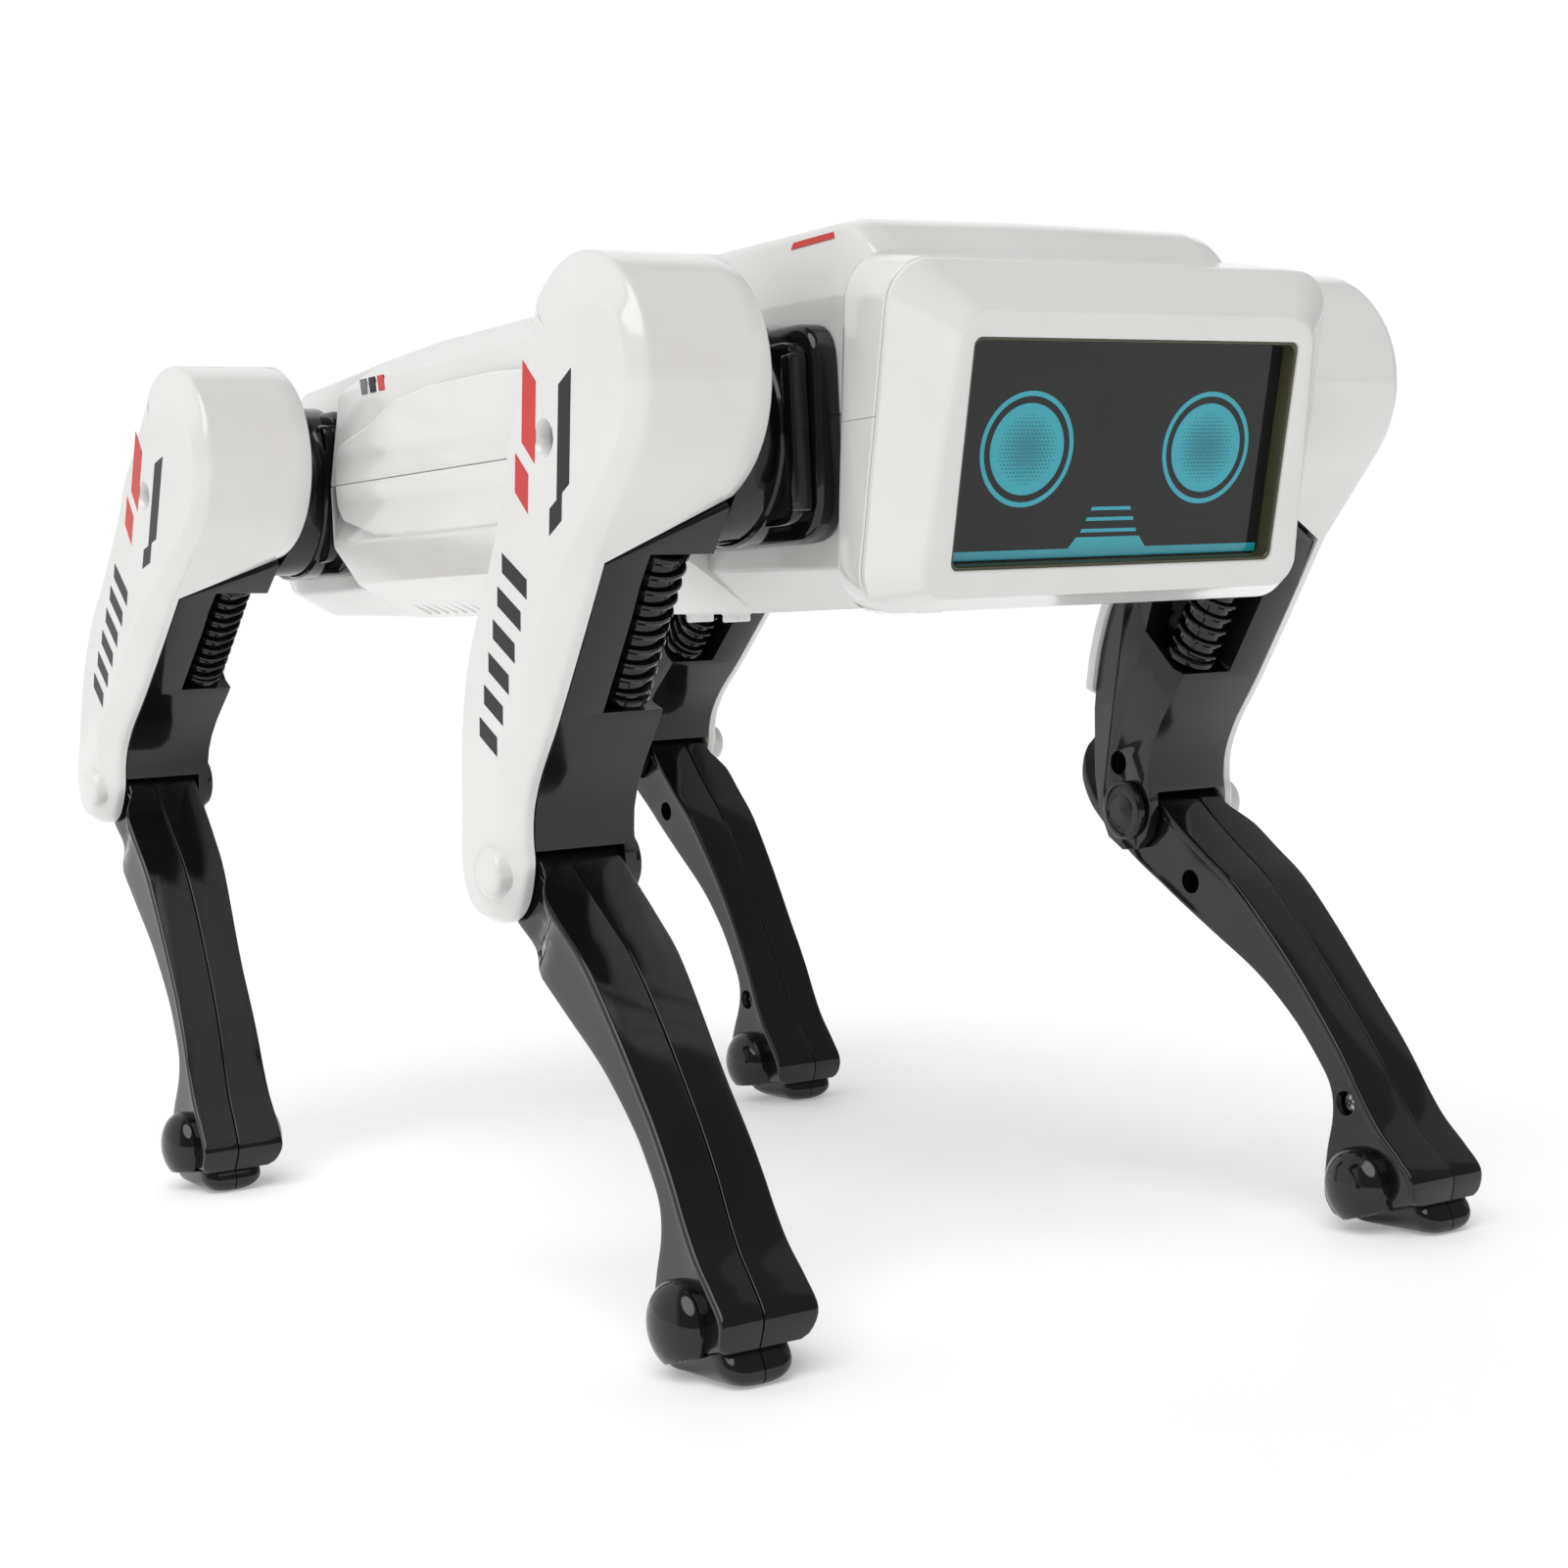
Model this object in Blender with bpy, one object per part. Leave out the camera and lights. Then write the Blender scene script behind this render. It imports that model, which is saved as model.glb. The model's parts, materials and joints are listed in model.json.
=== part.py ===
"""Robot dog toy: a walking toy with four sprung legs, a box head with a screen and a plastic casing.

The outlines are drawn in millimetres and turned into metres when a mesh is made. The front of the toy
is -Y and its right side is -X. The drawing's floor is FLOOR_Z up and its middle MIDDLE_Y back, so at the
end everything moves to stand on Z = 0 with the origin under its middle. A leg is drawn in two frames of
its own: the thigh frame, whose origin is the hip axis, and the shin frame, whose origin is the knee axis.
In both, u runs down the leg and v towards the front.
"""
import math

import bmesh
import bpy
from mathutils import Matrix, Vector

MM = 0.001
GAP = 0.3

# Driving dimensions, in millimetres and degrees
HIP_Y = 98.0
HIP_Z = {"front": 165.0, "rear": 167.0}
THIGH_LENGTH = 83.3
THIGH_LEAN = {"front": 20.0, "rear": 33.4}
SHIN_LEAN = {"front": 36.4, "rear": 25.8}
COVER_FACE_X = 90.0
COVER_SEAM_X = 84.8
DRUM_RIM_X = 62.0
FRAME_INNER_X = 63.3
CHEEK = 2.4
DRUM_CENTRE = (-12.0, 6.0)
DRUM_RADIUS = 22.3
WALL = 2.2
PIN_RADIUS = 2.4
PARTING_Z = 167.0
SHELL_SIDE_X = 44.0
POD_X = 54.0
FACE_LEAN = 14.4
HEAD_HALF_WIDTH = 50.0
MIDDLE_Y = 3.35
FLOOR_Z = 3.0

WHITE = ("gloss_white", (0.86, 0.86, 0.84), 0.22, 0.0)
BLACK = ("gloss_black", (0.012, 0.012, 0.014), 0.25, 0.0)
RUBBER = ("rubber_black", (0.02, 0.02, 0.02), 0.7, 0.0)
STEEL = ("screw_steel", (0.55, 0.55, 0.55), 0.35, 1.0)
TINTED = ("tinted_window", (0.03, 0.035, 0.03), 0.08, 0.0)
PRINT = ("face_print", (0.02, 0.02, 0.025), 0.3, 0.0)
BOARD = ("board_green", (0.02, 0.16, 0.06), 0.5, 0.0)
CELL = ("battery_wrap", (0.05, 0.1, 0.3), 0.4, 0.0)
MOTOR = ("motor_grey", (0.25, 0.26, 0.28), 0.4, 0.0)


def clear_scene():
    for item in list(bpy.data.objects):
        bpy.data.objects.remove(item, do_unlink=True)


def material(finish):
    name, colour, roughness, metallic = finish
    found = bpy.data.materials.get(name)
    if found:
        return found
    made = bpy.data.materials.new(name)
    made.use_nodes = True
    shader = made.node_tree.nodes["Principled BSDF"]
    shader.inputs["Base Color"].default_value = (*colour, 1.0)
    shader.inputs["Roughness"].default_value = roughness
    shader.inputs["Metallic"].default_value = metallic
    return made


def solid(name, shapes, finish=None, parent=None, triangles=False):
    """One object from (points, faces) shapes in millimetres; each shape is a closed surface of its own."""
    shaped = bmesh.new()
    for points, faces in shapes:
        corners = [shaped.verts.new(Vector(point) * MM) for point in points]
        for face in faces:
            shaped.faces.new([corners[index] for index in face])
    bmesh.ops.recalc_face_normals(shaped, faces=shaped.faces)
    if triangles:
        bmesh.ops.triangulate(shaped, faces=shaped.faces)
    mesh = bpy.data.meshes.new(name)
    shaped.to_mesh(mesh)
    shaped.free()
    mesh.shade_smooth()
    mesh.set_sharp_from_angle(angle=math.radians(35))
    made = bpy.data.objects.new(name, mesh)
    bpy.context.scene.collection.objects.link(made)
    made.parent = parent
    if finish:
        mesh.materials.append(material(finish))
    else:
        made.hide_render = True
        made.display_type = "WIRE"
    return made


def loft(rings):
    """A closed surface through rings with the same number of points, flat at both ends."""
    count = len(rings[0])
    points = [point for ring in rings for point in ring]
    faces = [tuple(reversed(range(count))), tuple(range(len(points) - count, len(points)))]
    for low in range(0, len(points) - count, count):
        for index in range(count):
            after = (index + 1) % count
            faces.append((low + index, low + after, low + count + after, low + count + index))
    return points, faces


def block(low, high):
    (x0, y0, z0), (x1, y1, z1) = low, high
    return loft([[(x0, y0, z), (x1, y0, z), (x1, y1, z), (x0, y1, z)] for z in (z0, z1)])


def boolean(target, operation, tool):
    change = target.modifiers.new(f"{operation.lower()}_{tool.name}", "BOOLEAN")
    change.operation = operation
    change.object = tool


def arc(centre, radius, start, end, steps):
    """Points of an arc, angles in degrees from +u (or +x) towards +v (or +y)."""
    angles = [math.radians(start + (end - start) * step / steps) for step in range(steps + 1)]
    return [(centre[0] + radius * math.cos(a), centre[1] + radius * math.sin(a)) for a in angles]


def inset(outline, widths):
    """The outline moved inwards by widths, one number for each point or one for all."""
    count = len(outline)
    widths = widths if isinstance(widths, list) else [widths] * count
    area = sum(outline[i - 1][0] * outline[i][1] - outline[i][0] * outline[i - 1][1] for i in range(count))
    turn = 1.0 if area > 0 else -1.0
    moved = []
    for i, width in enumerate(widths):
        here = Vector(outline[i])
        before = (here - Vector(outline[i - 1])).normalized()
        after = (Vector(outline[(i + 1) % count]) - here).normalized()
        along = (before + after).normalized()
        inward = Vector((-along.y, along.x)) * turn
        moved.append(tuple(here + inward * width / max(0.5, before.dot(along))))
    return moved


def leg_ring(side, x, outline):
    """A ring of (u, v) points at distance x from the middle plane, in a leg frame."""
    return [(side * x, -v, -u) for u, v in outline]


def leg_slab(side, outline, x0, x1):
    return loft([leg_ring(side, x, outline) for x in (x0, x1)])


def leg_disc(side, radius, x0, x1, centre=(0.0, 0.0), steps=20):
    return leg_slab(side, arc(centre, radius, 0, 360 - 360 / steps, steps - 1), x0, x1)


# ---------------------------------------------------------------- thigh

DRUM_ARC = arc(DRUM_CENTRE, DRUM_RADIUS, 67, 245, 15)
THIGH_BACK = [(2, -14.2), (13.2, -14.6), (30.7, -17.2), (44, -20), (53, -20.6), (61.2, -20), (66, -19.2)]
COVER_TIP = [(70.3, -18), (78, -16), (86, -14.2), (91.4, -11), (94.3, -6.5), (94.4, -1.2), (91.6, 3.4),
             (86.8, 6.2), (80, 6.4)]
THIGH_FRONT = [(75, 4.5), (71, 3.6), (67, 3.7), (61.5, 4.8), (51.3, 8.2), (40, 11.4), (29.4, 14.3)]
NOTCH = (17.7, 17.3)
NOTCH_AT_RIM = (6.0, 22.44)


def cover_outline():
    return DRUM_ARC + THIGH_BACK + COVER_TIP + THIGH_FRONT + [NOTCH]


def cover_face_insets():
    """How far the flat outer face lies inside the outline: a wide bevel in front, a narrow one behind."""
    drum = [3.2 + 7.8 * max(0.0, math.sin(math.pi * (i - 6) / 12)) for i in range(len(DRUM_ARC))]
    back = [2.2] * len(THIGH_BACK)
    tip = [2.0] * 5 + [2.4, 3.0, 3.6, 4.6]
    front = [6.0, 6.6, 7.2, 8.0, 8.8, 8.6, 8.0]
    return drum + back + tip + front + [5.0]


def thigh_cover(name, side, hip):
    full = cover_outline()
    face = inset(full, cover_face_insets())
    plate = loft([leg_ring(side, COVER_SEAM_X, full), leg_ring(side, COVER_SEAM_X + 2.4, inset(full, 0.5)),
                  leg_ring(side, COVER_FACE_X, face)])
    path = [NOTCH] + DRUM_ARC + THIGH_BACK
    band = path + list(reversed(inset(full, WALL)[-1:] + inset(full, WALL)[:len(path) - 1]))
    rim = list(band)
    rim[0] = NOTCH_AT_RIM
    rim[-1] = (NOTCH_AT_RIM[0] - 0.4 * WALL, NOTCH_AT_RIM[1] - 0.916 * WALL)
    wall = loft([leg_ring(side, DRUM_RIM_X, rim), leg_ring(side, COVER_SEAM_X + 0.6, band)])
    made = solid(name, [plate], WHITE, hip)
    boolean(made, "UNION", solid(f"{name}_wall", [wall], parent=hip))
    knee = (THIGH_LENGTH, 0.0)
    boss = [leg_disc(side, 4.9, COVER_FACE_X - 1.0, COVER_FACE_X + 2.2, knee, 24)]
    boolean(made, "UNION", solid(f"{name}_boss", boss, parent=hip))
    holes = [leg_disc(side, 3.2, COVER_SEAM_X - 1, COVER_FACE_X + 1),
             leg_disc(side, PIN_RADIUS + GAP, COVER_SEAM_X - 1, COVER_SEAM_X + 3.6, knee)]
    boolean(made, "DIFFERENCE", solid(f"{name}_holes", holes, parent=hip))


def frame_outline(under_wall, front_top):
    hub = arc(DRUM_CENTRE, DRUM_RADIUS - WALL - GAP, 50, 245, 15)
    back = [(u, v + WALL + GAP) for u, v in THIGH_BACK]
    tip = [(79.6, -12.6), (86.4, -9.2), (91.2, -4.4), (92.2, 0.8), (90.4, 5.0), (86.6, 7.2), (82, 7.4)]
    return hub + back + tip + [(78.7, 6.1)] + THIGH_FRONT + [front_top, under_wall]


def thigh_frame(name, side, hip):
    outer_x = COVER_SEAM_X - GAP
    rings = [leg_ring(side, FRAME_INNER_X, frame_outline((5.6, 19.5), (6.7, 21.6))),
             leg_ring(side, outer_x, frame_outline((17.5, 14.3), (18.5, 16.6)))]
    made = solid(name, [loft(rings)], BLACK, hip)
    drum = leg_disc(side, DRUM_RADIUS - 2 * WALL - GAP, FRAME_INNER_X + 3, outer_x + 2, DRUM_CENTRE, 24)
    boolean(made, "DIFFERENCE", solid(f"{name}_drum", [drum], parent=hip))
    hub = leg_disc(side, 9.0, FRAME_INNER_X + 1, outer_x)
    boolean(made, "UNION", solid(f"{name}_hub", [hub], parent=hip))
    hollow = [(56.5, -40), (56.5, 3.6), (61.5, 2.3), (67, 1.2), (71, 1.1), (75, 2.0), (77.3, 2.8), (77.3, 40),
              (120, 40), (120, -40)]
    window = [(16.3, 40), (16.3, 4.4), (20, -4.2), (44.4, -5.4), (49.2, 5.2), (49.2, 40)]
    cuts = [leg_slab(side, hollow, FRAME_INNER_X + CHEEK, outer_x + 5)]
    boolean(made, "DIFFERENCE", solid(f"{name}_hollow", cuts, parent=hip))
    cuts = [leg_slab(side, window, FRAME_INNER_X - 5, 76.0)]
    boolean(made, "DIFFERENCE", solid(f"{name}_window", cuts, parent=hip))
    knee = (THIGH_LENGTH, 0.0)
    bores = [leg_disc(side, 3.9, FRAME_INNER_X - 2, 81.0), leg_disc(side, 1.8, 80.5, outer_x + 2),
             leg_disc(side, PIN_RADIUS + GAP, FRAME_INNER_X - 2, FRAME_INNER_X + 4, knee),
             leg_disc(side, 2.6, FRAME_INNER_X - 2, FRAME_INNER_X + 4, (74.6, -5.8))]
    for index, bore in enumerate(bores):
        boolean(made, "DIFFERENCE", solid(f"{name}_bore_{index}", [bore], parent=hip))


SPRING_TOP = (17.5, 10.6)
SPRING_END = (47.1, 3.5)
SPRING_X = 69.4
SPRING_RADIUS = 5.4
SPRING_TURNS = 9


def shock_spring(name, side, hip):
    """A ribbed column standing for the coil on its guide: one rib for each turn."""
    top, end = Vector(SPRING_TOP), Vector(SPRING_END)
    along = (end - top).normalized()
    across = Vector((-along.y, along.x))
    profile = [(0.0, SPRING_RADIUS - 1.4)]
    for turn in range(SPRING_TURNS):
        middle = (turn + 0.5) / SPRING_TURNS
        profile += [(middle - 0.03, SPRING_RADIUS), (middle + 0.03, SPRING_RADIUS)]
        profile.append((min(1.0, middle + 0.055), SPRING_RADIUS - 1.4))
    profile[-1] = (1.0, SPRING_RADIUS - 1.4)
    rings = []
    for share, radius in profile:
        centre = top.lerp(end, share)
        ring = []
        for step in range(10):
            angle = 2 * math.pi * step / 10
            u, v = centre + across * radius * math.cos(angle)
            ring.append((side * (SPRING_X + radius * math.sin(angle)), -v, -u))
        rings.append(ring)
    solid(name, [loft(rings)], BLACK, hip)


def hip_shaft(name, side, hip):
    made = solid(name, [leg_disc(side, 3.4, 34, 80.4, steps=16)], STEEL, hip)
    boolean(made, "DIFFERENCE", solid(f"{name}_bore", [leg_disc(side, 1.7, 73, 82, steps=12)], parent=hip))


def hip_screw(name, side, hip):
    ring_steps = [(75.0, 1.3), (84.9, 1.3), (84.9, 2.7), (86.6, 2.7), (87.2, 2.1)]
    rings = [leg_ring(side, x, arc((0, 0), r, 0, 337.5, 15)) for x, r in ring_steps]
    solid(name, [loft(rings)], STEEL, hip)


def knee_pin(name, side, hip):
    knee = (THIGH_LENGTH, 0.0)
    ring_steps = [(61.2, 5.6), (61.7, 6.3), (63.0, 6.3), (63.0, PIN_RADIUS), (88.0, PIN_RADIUS)]
    rings = [leg_ring(side, x, arc(knee, r, 0, 345, 23)) for x, r in ring_steps]
    solid(name, [loft(rings)], BLACK, hip)


# ---------------------------------------------------------------- shin

SHIN_STATIONS = [
    ((-23.2, -6.0), (-23.2, -1.0)), ((-21.4, -9.8), (-20.6, 2.6)), ((-17.2, -12.8), (-15, 5.2)),
    ((-10, -12.9), (-8, 4.8)), ((-2, -11.3), (-1.5, 4.9)), ((5.3, -8.9), (2, 6.0)),
    ((12, -6.8), (9.8, 8.4)), ((19.5, -4.3), (19.5, 11.2)), ((32.6, 0.5), (29, 14.0)),
    ((45.5, 5.2), (42.4, 15.4)), ((58.2, 7.9), (57, 16.0)), ((68, 8.6), (68, 16.2)),
    ((74.7, 8.0), (75.5, 15.9)), ((79.7, 4.5), (82, 15.3)), ((84.5, -1.6), (88.5, 15.2)),
    ((90.5, -7.6), (95.5, 16.3)), ((94.6, -8.6), (101.5, 16.6)), ((97.0, -8.0), (105.1, 12.6)),
]
SHIN_RIDGE = 2.2
HEEL_DOME = (94.8, 2.8)


def eased(share):
    share = min(1.0, max(0.0, share))
    return share * share * (3 - 2 * share)


def shin_split_x(u):
    return 77.3 + 0.0005 * max(0.0, u - 10) ** 2


def shin_inner_x(u):
    return 66.3 + 3.3 * eased((u - 8) / 55) + 0.015 * max(0.0, u - 63)


def shin_outer_x(u, v):
    """The outer side widens just past the arc that the thigh cover's tip sweeps as the knee bends."""
    sweep = 10.4 + 0.055 * (45.0 - math.degrees(math.atan2(v, u)))
    flare = eased((math.hypot(u, v) - sweep) / 3.5) if u > 0 else 0.0
    return 84.0 + 3.4 * flare + 0.012 * max(0.0, u - 18) + 0.035 * max(0.0, u - 62)


def seat_u(v):
    """The foot's flat underside."""
    return 105.1 + (v - 12.6) * 0.393


def shin_half(name, side, knee, outer):
    rings = []
    away = 1.0 if outer else -1.0
    for (back_u, back_v), (front_u, front_v) in SHIN_STATIONS:
        ridge = min(SHIN_RIDGE, 0.35 * (front_v - back_v))
        line = [(0.0, GAP / 2), (0.0, None), (ridge, None), (-ridge, None), (0.0, None), (0.0, GAP / 2)]
        length = math.hypot(front_u - back_u, front_v - back_v)
        ring = []
        for index, (offset, gap) in enumerate(line):
            share = offset / length if index < 3 else 1.0 + offset / length
            u = back_u + (front_u - back_u) * share
            v = back_v + (front_v - back_v) * share
            face_x = shin_outer_x(u, v) if outer else shin_inner_x(u)
            if gap is not None:
                x = shin_split_x(u) + away * gap
            elif offset:
                x = face_x
            else:
                x = face_x - away * ridge
            ring.append((side * x, -v, -u))
        rings.append(ring)
    made = solid(name, [loft(rings)], BLACK, knee)
    dome = []
    base = 88.9 if outer else 70.1
    for rise, radius in ((-1.5, 8.0), (1.2, 7.8), (3.1, 6.4), (4.4, 4.1), (5.0, 1.8)):
        outline = [(min(u, seat_u(v)), v) for u, v in arc(HEEL_DOME, radius, 0, 337.5, 15)]
        dome.append(leg_ring(side, base + away * rise, outline))
    boolean(made, "UNION", solid(f"{name}_dome", [loft(dome)], parent=knee))
    bore = leg_disc(side, PIN_RADIUS + GAP, 60, 95, steps=16)
    boolean(made, "DIFFERENCE", solid(f"{name}_bore", [bore], parent=knee))
    if not outer:
        for index, place in enumerate(((20.7, 2.6), (79.6, 9.8))):
            hole = leg_disc(side, 2.5, 60, 71, place, 14)
            boolean(made, "DIFFERENCE", solid(f"{name}_hole_{index}", [hole], parent=knee))


SOLE_SECTION = [(-5.5, 0.0), (-5.2, 0.6), (-4.2, 0.9), (-2.6, 1.0), (5.6, 1.0), (7.6, 0.9), (8.8, 0.6),
                (9.2, 0.0)]


def sole(name, side, knee, knee_height, lean):
    """A pad from its seat under the foot (share 0) down to the floor (share 1), cut level there."""
    lean = math.radians(lean)
    outline = []
    for v, share in SOLE_SECTION:
        seat = seat_u(v) + GAP
        floor = (knee_height + v * math.sin(lean)) / math.cos(lean)
        outline.append((seat + (floor - seat) * share, v))
    middle = Vector((sum(u for u, v in outline) / len(outline), sum(v for u, v in outline) / len(outline)))
    end = [tuple(Vector(point).lerp(middle, 0.14)) for point in outline]
    levels = ((72.6, end), (74.0, outline), (86.6, outline), (88.0, end))
    rings = [leg_ring(side, x, line) for x, line in levels]
    solid(name, [loft(rings)], RUBBER, knee)


# ---------------------------------------------------------------- trunk

def trunk_end_y(z):
    """The front end of the trunk leans with the back of the head."""
    return -125.0 - 0.13 * (z - 132.0)


# y, half width at the parting line, shoulder (x, z), deck edge (x, z), deck middle z
UPPER_STATIONS = [
    (None, 43.6, (43.6, 187.0), (41.6, 194.6), 195.8), (-122.0, 44.0, (44.0, 188.0), (41.2, 201.0), 202.4),
    (-75.6, 44.0, (44.0, 189.0), (41.0, 201.2), 203.0), (-73.0, 54.0, (50.5, 192.4), (41.0, 201.2), 203.0),
    (-24.0, 54.0, (50.5, 192.2), (41.0, 200.6), 202.4), (-8.0, 54.0, (50.5, 192.0), (40.2, 197.8), 199.2),
    (40.0, 54.0, (50.5, 190.8), (39.8, 197.4), 198.8), (73.0, 54.0, (50.5, 188.6), (39.4, 195.8), 197.2),
    (75.6, 44.0, (44.0, 184.0), (39.0, 195.4), 196.8), (124.0, 44.0, (44.0, 182.0), (38.0, 192.6), 193.8),
    (134.0, 40.0, (40.0, 180.0), (34.0, 189.6), 190.8), (140.0, 33.0, (33.0, 176.0), (27.0, 184.0), 185.0),
]
# y, half width at the parting line, side foot z, flank top (x, z), flank foot (x, z)
LOWER_STATIONS = [
    (None, 43.6, 150.0, (41.5, 139.0), (30.0, 132.4)), (-118.0, 44.0, 150.0, (42.0, 139.6), (31.0, 132.4)),
    (-75.6, 44.0, 150.0, (43.0, 141.0), (33.0, 132.6)), (-73.0, 54.0, 153.0, (48.0, 143.4), (33.0, 132.8)),
    (0.0, 54.0, 153.0, (48.0, 143.8), (33.0, 134.2)), (73.0, 54.0, 153.0, (48.0, 144.2), (33.0, 135.8)),
    (75.6, 44.0, 151.0, (43.0, 143.0), (33.0, 136.0)), (124.0, 44.0, 151.0, (42.0, 143.0), (33.0, 137.4)),
    (134.0, 40.0, 152.0, (38.0, 144.0), (29.0, 139.4)), (140.0, 33.0, 155.0, (31.0, 149.0), (24.0, 145.0)),
]


def shell_rings(half_sections, wall, closed_z, upward):
    """Full rings from half sections; a wall above nought gives the hollow inside, open past the parting."""
    rings = []
    last = len(half_sections) - 1
    widths = [half[0][0] for _, half in half_sections]
    for index, (y, half) in enumerate(half_sections):
        points = [(half[0][0], closed_z)] + half[1:]
        move = 0.0
        if wall:
            points = [(max(2.0, x - wall), z - upward * wall) for x, z in points]
            points[0] = (points[0][0], closed_z - upward * 3)
            pod_starts = widths[index] == POD_X > widths[index - 1]
            pod_ends = widths[index] == POD_X > widths[min(last, index + 1)]
            move = wall * ((index == 0 or pod_starts) - (index == last or pod_ends))
        full = points + [(-x, z) for x, z in reversed(points)]
        rings.append([(x, (trunk_end_y(z) + GAP if y is None else y) + move, z) for x, z in full])
    return rings


def hip_openings(name):
    """Holes in the casing for the four hip shafts."""
    shapes = []
    for pair, y in (("front", -HIP_Y), ("rear", HIP_Y)):
        for side in (-1, 1):
            circle = arc((y, HIP_Z[pair]), 9.0, 0, 345, 23)
            shapes.append(loft([[(side * x, cy, cz) for cy, cz in circle] for x in (36.0, 60.0)]))
    return solid(name, shapes)


def upper_shell():
    sections = [(y, [(half, PARTING_Z), shoulder, deck, (deck[0] - 5.0, deck[1] + 0.9), (6.0, top)])
                for y, half, shoulder, deck, top in UPPER_STATIONS]
    made = solid("upper_shell", [loft(shell_rings(sections, 0.0, PARTING_Z, 1))], WHITE)
    hollow = solid("upper_hollow", [loft(shell_rings(sections, WALL, PARTING_Z, 1))], triangles=True)
    boolean(made, "DIFFERENCE", hollow)
    boolean(made, "DIFFERENCE", hip_openings("upper_hip_openings"))


def belly_z(y):
    """Height of the flat belly, which rises a little towards the rear."""
    return 132.6 + 3.2 * (y + 62.0) / 126.0


def lower_shell():
    top = PARTING_Z - GAP
    sections = [(y, [(half, top), (half, side_z), flank, foot, (6.0, foot[1])])
                for y, half, side_z, flank, foot in LOWER_STATIONS]
    made = solid("lower_shell", [loft(shell_rings(sections, 0.0, top, -1))], WHITE)
    hollow = solid("lower_hollow", [loft(shell_rings(sections, WALL, top, -1))], triangles=True)
    boolean(made, "DIFFERENCE", hollow)
    boolean(made, "DIFFERENCE", hip_openings("lower_hip_openings"))
    door = block((-27.3, -58.3, 120), (27.3, 52.3, 142))
    switch = block((-3.0, 92.2, 120), (3.0, 100.8, 142))
    socket = block((-5.2, 112.0, 120), (5.2, 118.6, 142))
    boolean(made, "DIFFERENCE", solid("lower_openings", [door, switch, socket]))


def battery_door():
    corners = [(-27.0, -58.0), (27.0, -58.0), (27.0, 52.0), (-27.0, 52.0)]
    plate = loft([[(x, y, belly_z(y) + rise) for x, y in corners] for rise in (0.0, 2.0)])
    made = solid("battery_door", [plate], WHITE)
    tabs = []
    for x in (-24.0, 24.0):
        for y in (-54.0, -40.0):
            low = belly_z(y)
            tabs.append(block((x - 1.6, y - 3.0, low - 1.7), (x + 1.6, y + 3.0, low + 1.0)))
    boolean(made, "UNION", solid("door_tabs", tabs))
    hole = loft([[(x, y, z) for x, y in arc((0, 44.0), 1.8, 0, 330, 11)] for z in (120, 150)])
    boolean(made, "DIFFERENCE", solid("door_hole", [hole]))


def turned_z(centre, profile, steps=16):
    """A body turned about an upright axis, from (z, radius) pairs."""
    circle = 360 - 360 / steps
    return loft([[(x, y, z) for x, y in arc(centre, radius, 0, circle, steps - 1)] for z, radius in profile])


def inner_parts():
    floor = belly_z(44.0)
    solid("door_screw", [turned_z((0, 44.0), [(floor + 0.2, 1.5), (floor + 8.0, 1.5)], 12)], STEEL)
    solid("battery_pack", [block((-17, -44, 139.6), (17, 34, 157.6))], CELL)
    solid("circuit_board", [block((-27, -52, 174.0), (27, 52, 175.6))], BOARD)
    solid("speaker", [turned_z((0, 72.0), [(141.0, 13.0), (143.5, 13.0), (147.0, 8.0), (151.0, 8.0)])], MOTOR)
    knob = solid("power_switch", [block((-2.6, 92.6, 135.4), (2.6, 97.4, 144.0))], BLACK)
    boolean(knob, "UNION", solid("switch_plate", [block((-7.0, 90.0, 139.4), (7.0, 100.0, 141.4))]))
    socket = solid("charge_socket", [block((-4.8, 112.4, 137.6), (4.8, 118.2, 144.0))], BLACK)
    boolean(socket, "DIFFERENCE", solid("socket_mouth", [block((-3.9, 113.4, 130), (3.9, 117.2, 141.6))]))


# ---------------------------------------------------------------- head

LEAN = math.radians(FACE_LEAN)
FACE_FOOT = Vector((0.0, -143.8, 133.1))
UP_FACE = Vector((0.0, -math.sin(LEAN), math.cos(LEAN)))
OUT_FACE = Vector((0.0, -math.cos(LEAN), -math.sin(LEAN)))


def on_face(x, height, depth):
    """A point given across, up and out of the leaning face."""
    return tuple(Vector((x, 0, 0)) + FACE_FOOT + UP_FACE * height + OUT_FACE * depth)


def face_ring(top_half, foot_half, low, high, depth_low, depth_high, radius, steps=4):
    """A rounded four-sided ring in the face frame; its depth may change from foot to top."""
    corners = [((foot_half - radius, low + radius), 270), ((top_half - radius, high - radius), 0),
               ((-top_half + radius, high - radius), 90), ((-foot_half + radius, low + radius), 180)]
    outline = [point for centre, start in corners for point in arc(centre, radius, start, start + 90, steps)]
    rise = (depth_high - depth_low) / (high - low)
    return [on_face(x, height, depth_low + rise * (height - low)) for x, height in outline]


SEAM_RING = (HEAD_HALF_WIDTH, HEAD_HALF_WIDTH, -3.9, 57.6, -8.8, -9.6, 8.0)
REAR_RING = (HEAD_HALF_WIDTH - 0.8, HEAD_HALF_WIDTH - 0.8, -5.6, 57.2, -17.6, -25.6, 9.0)


def shifted(ring, depth, smaller=0.0):
    top_half, foot_half, low, high, depth_low, depth_high, radius = ring
    return (top_half - smaller, foot_half - smaller, low + smaller, high - smaller, depth_low + depth,
            depth_high + depth, max(1.5, radius - smaller))


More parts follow.
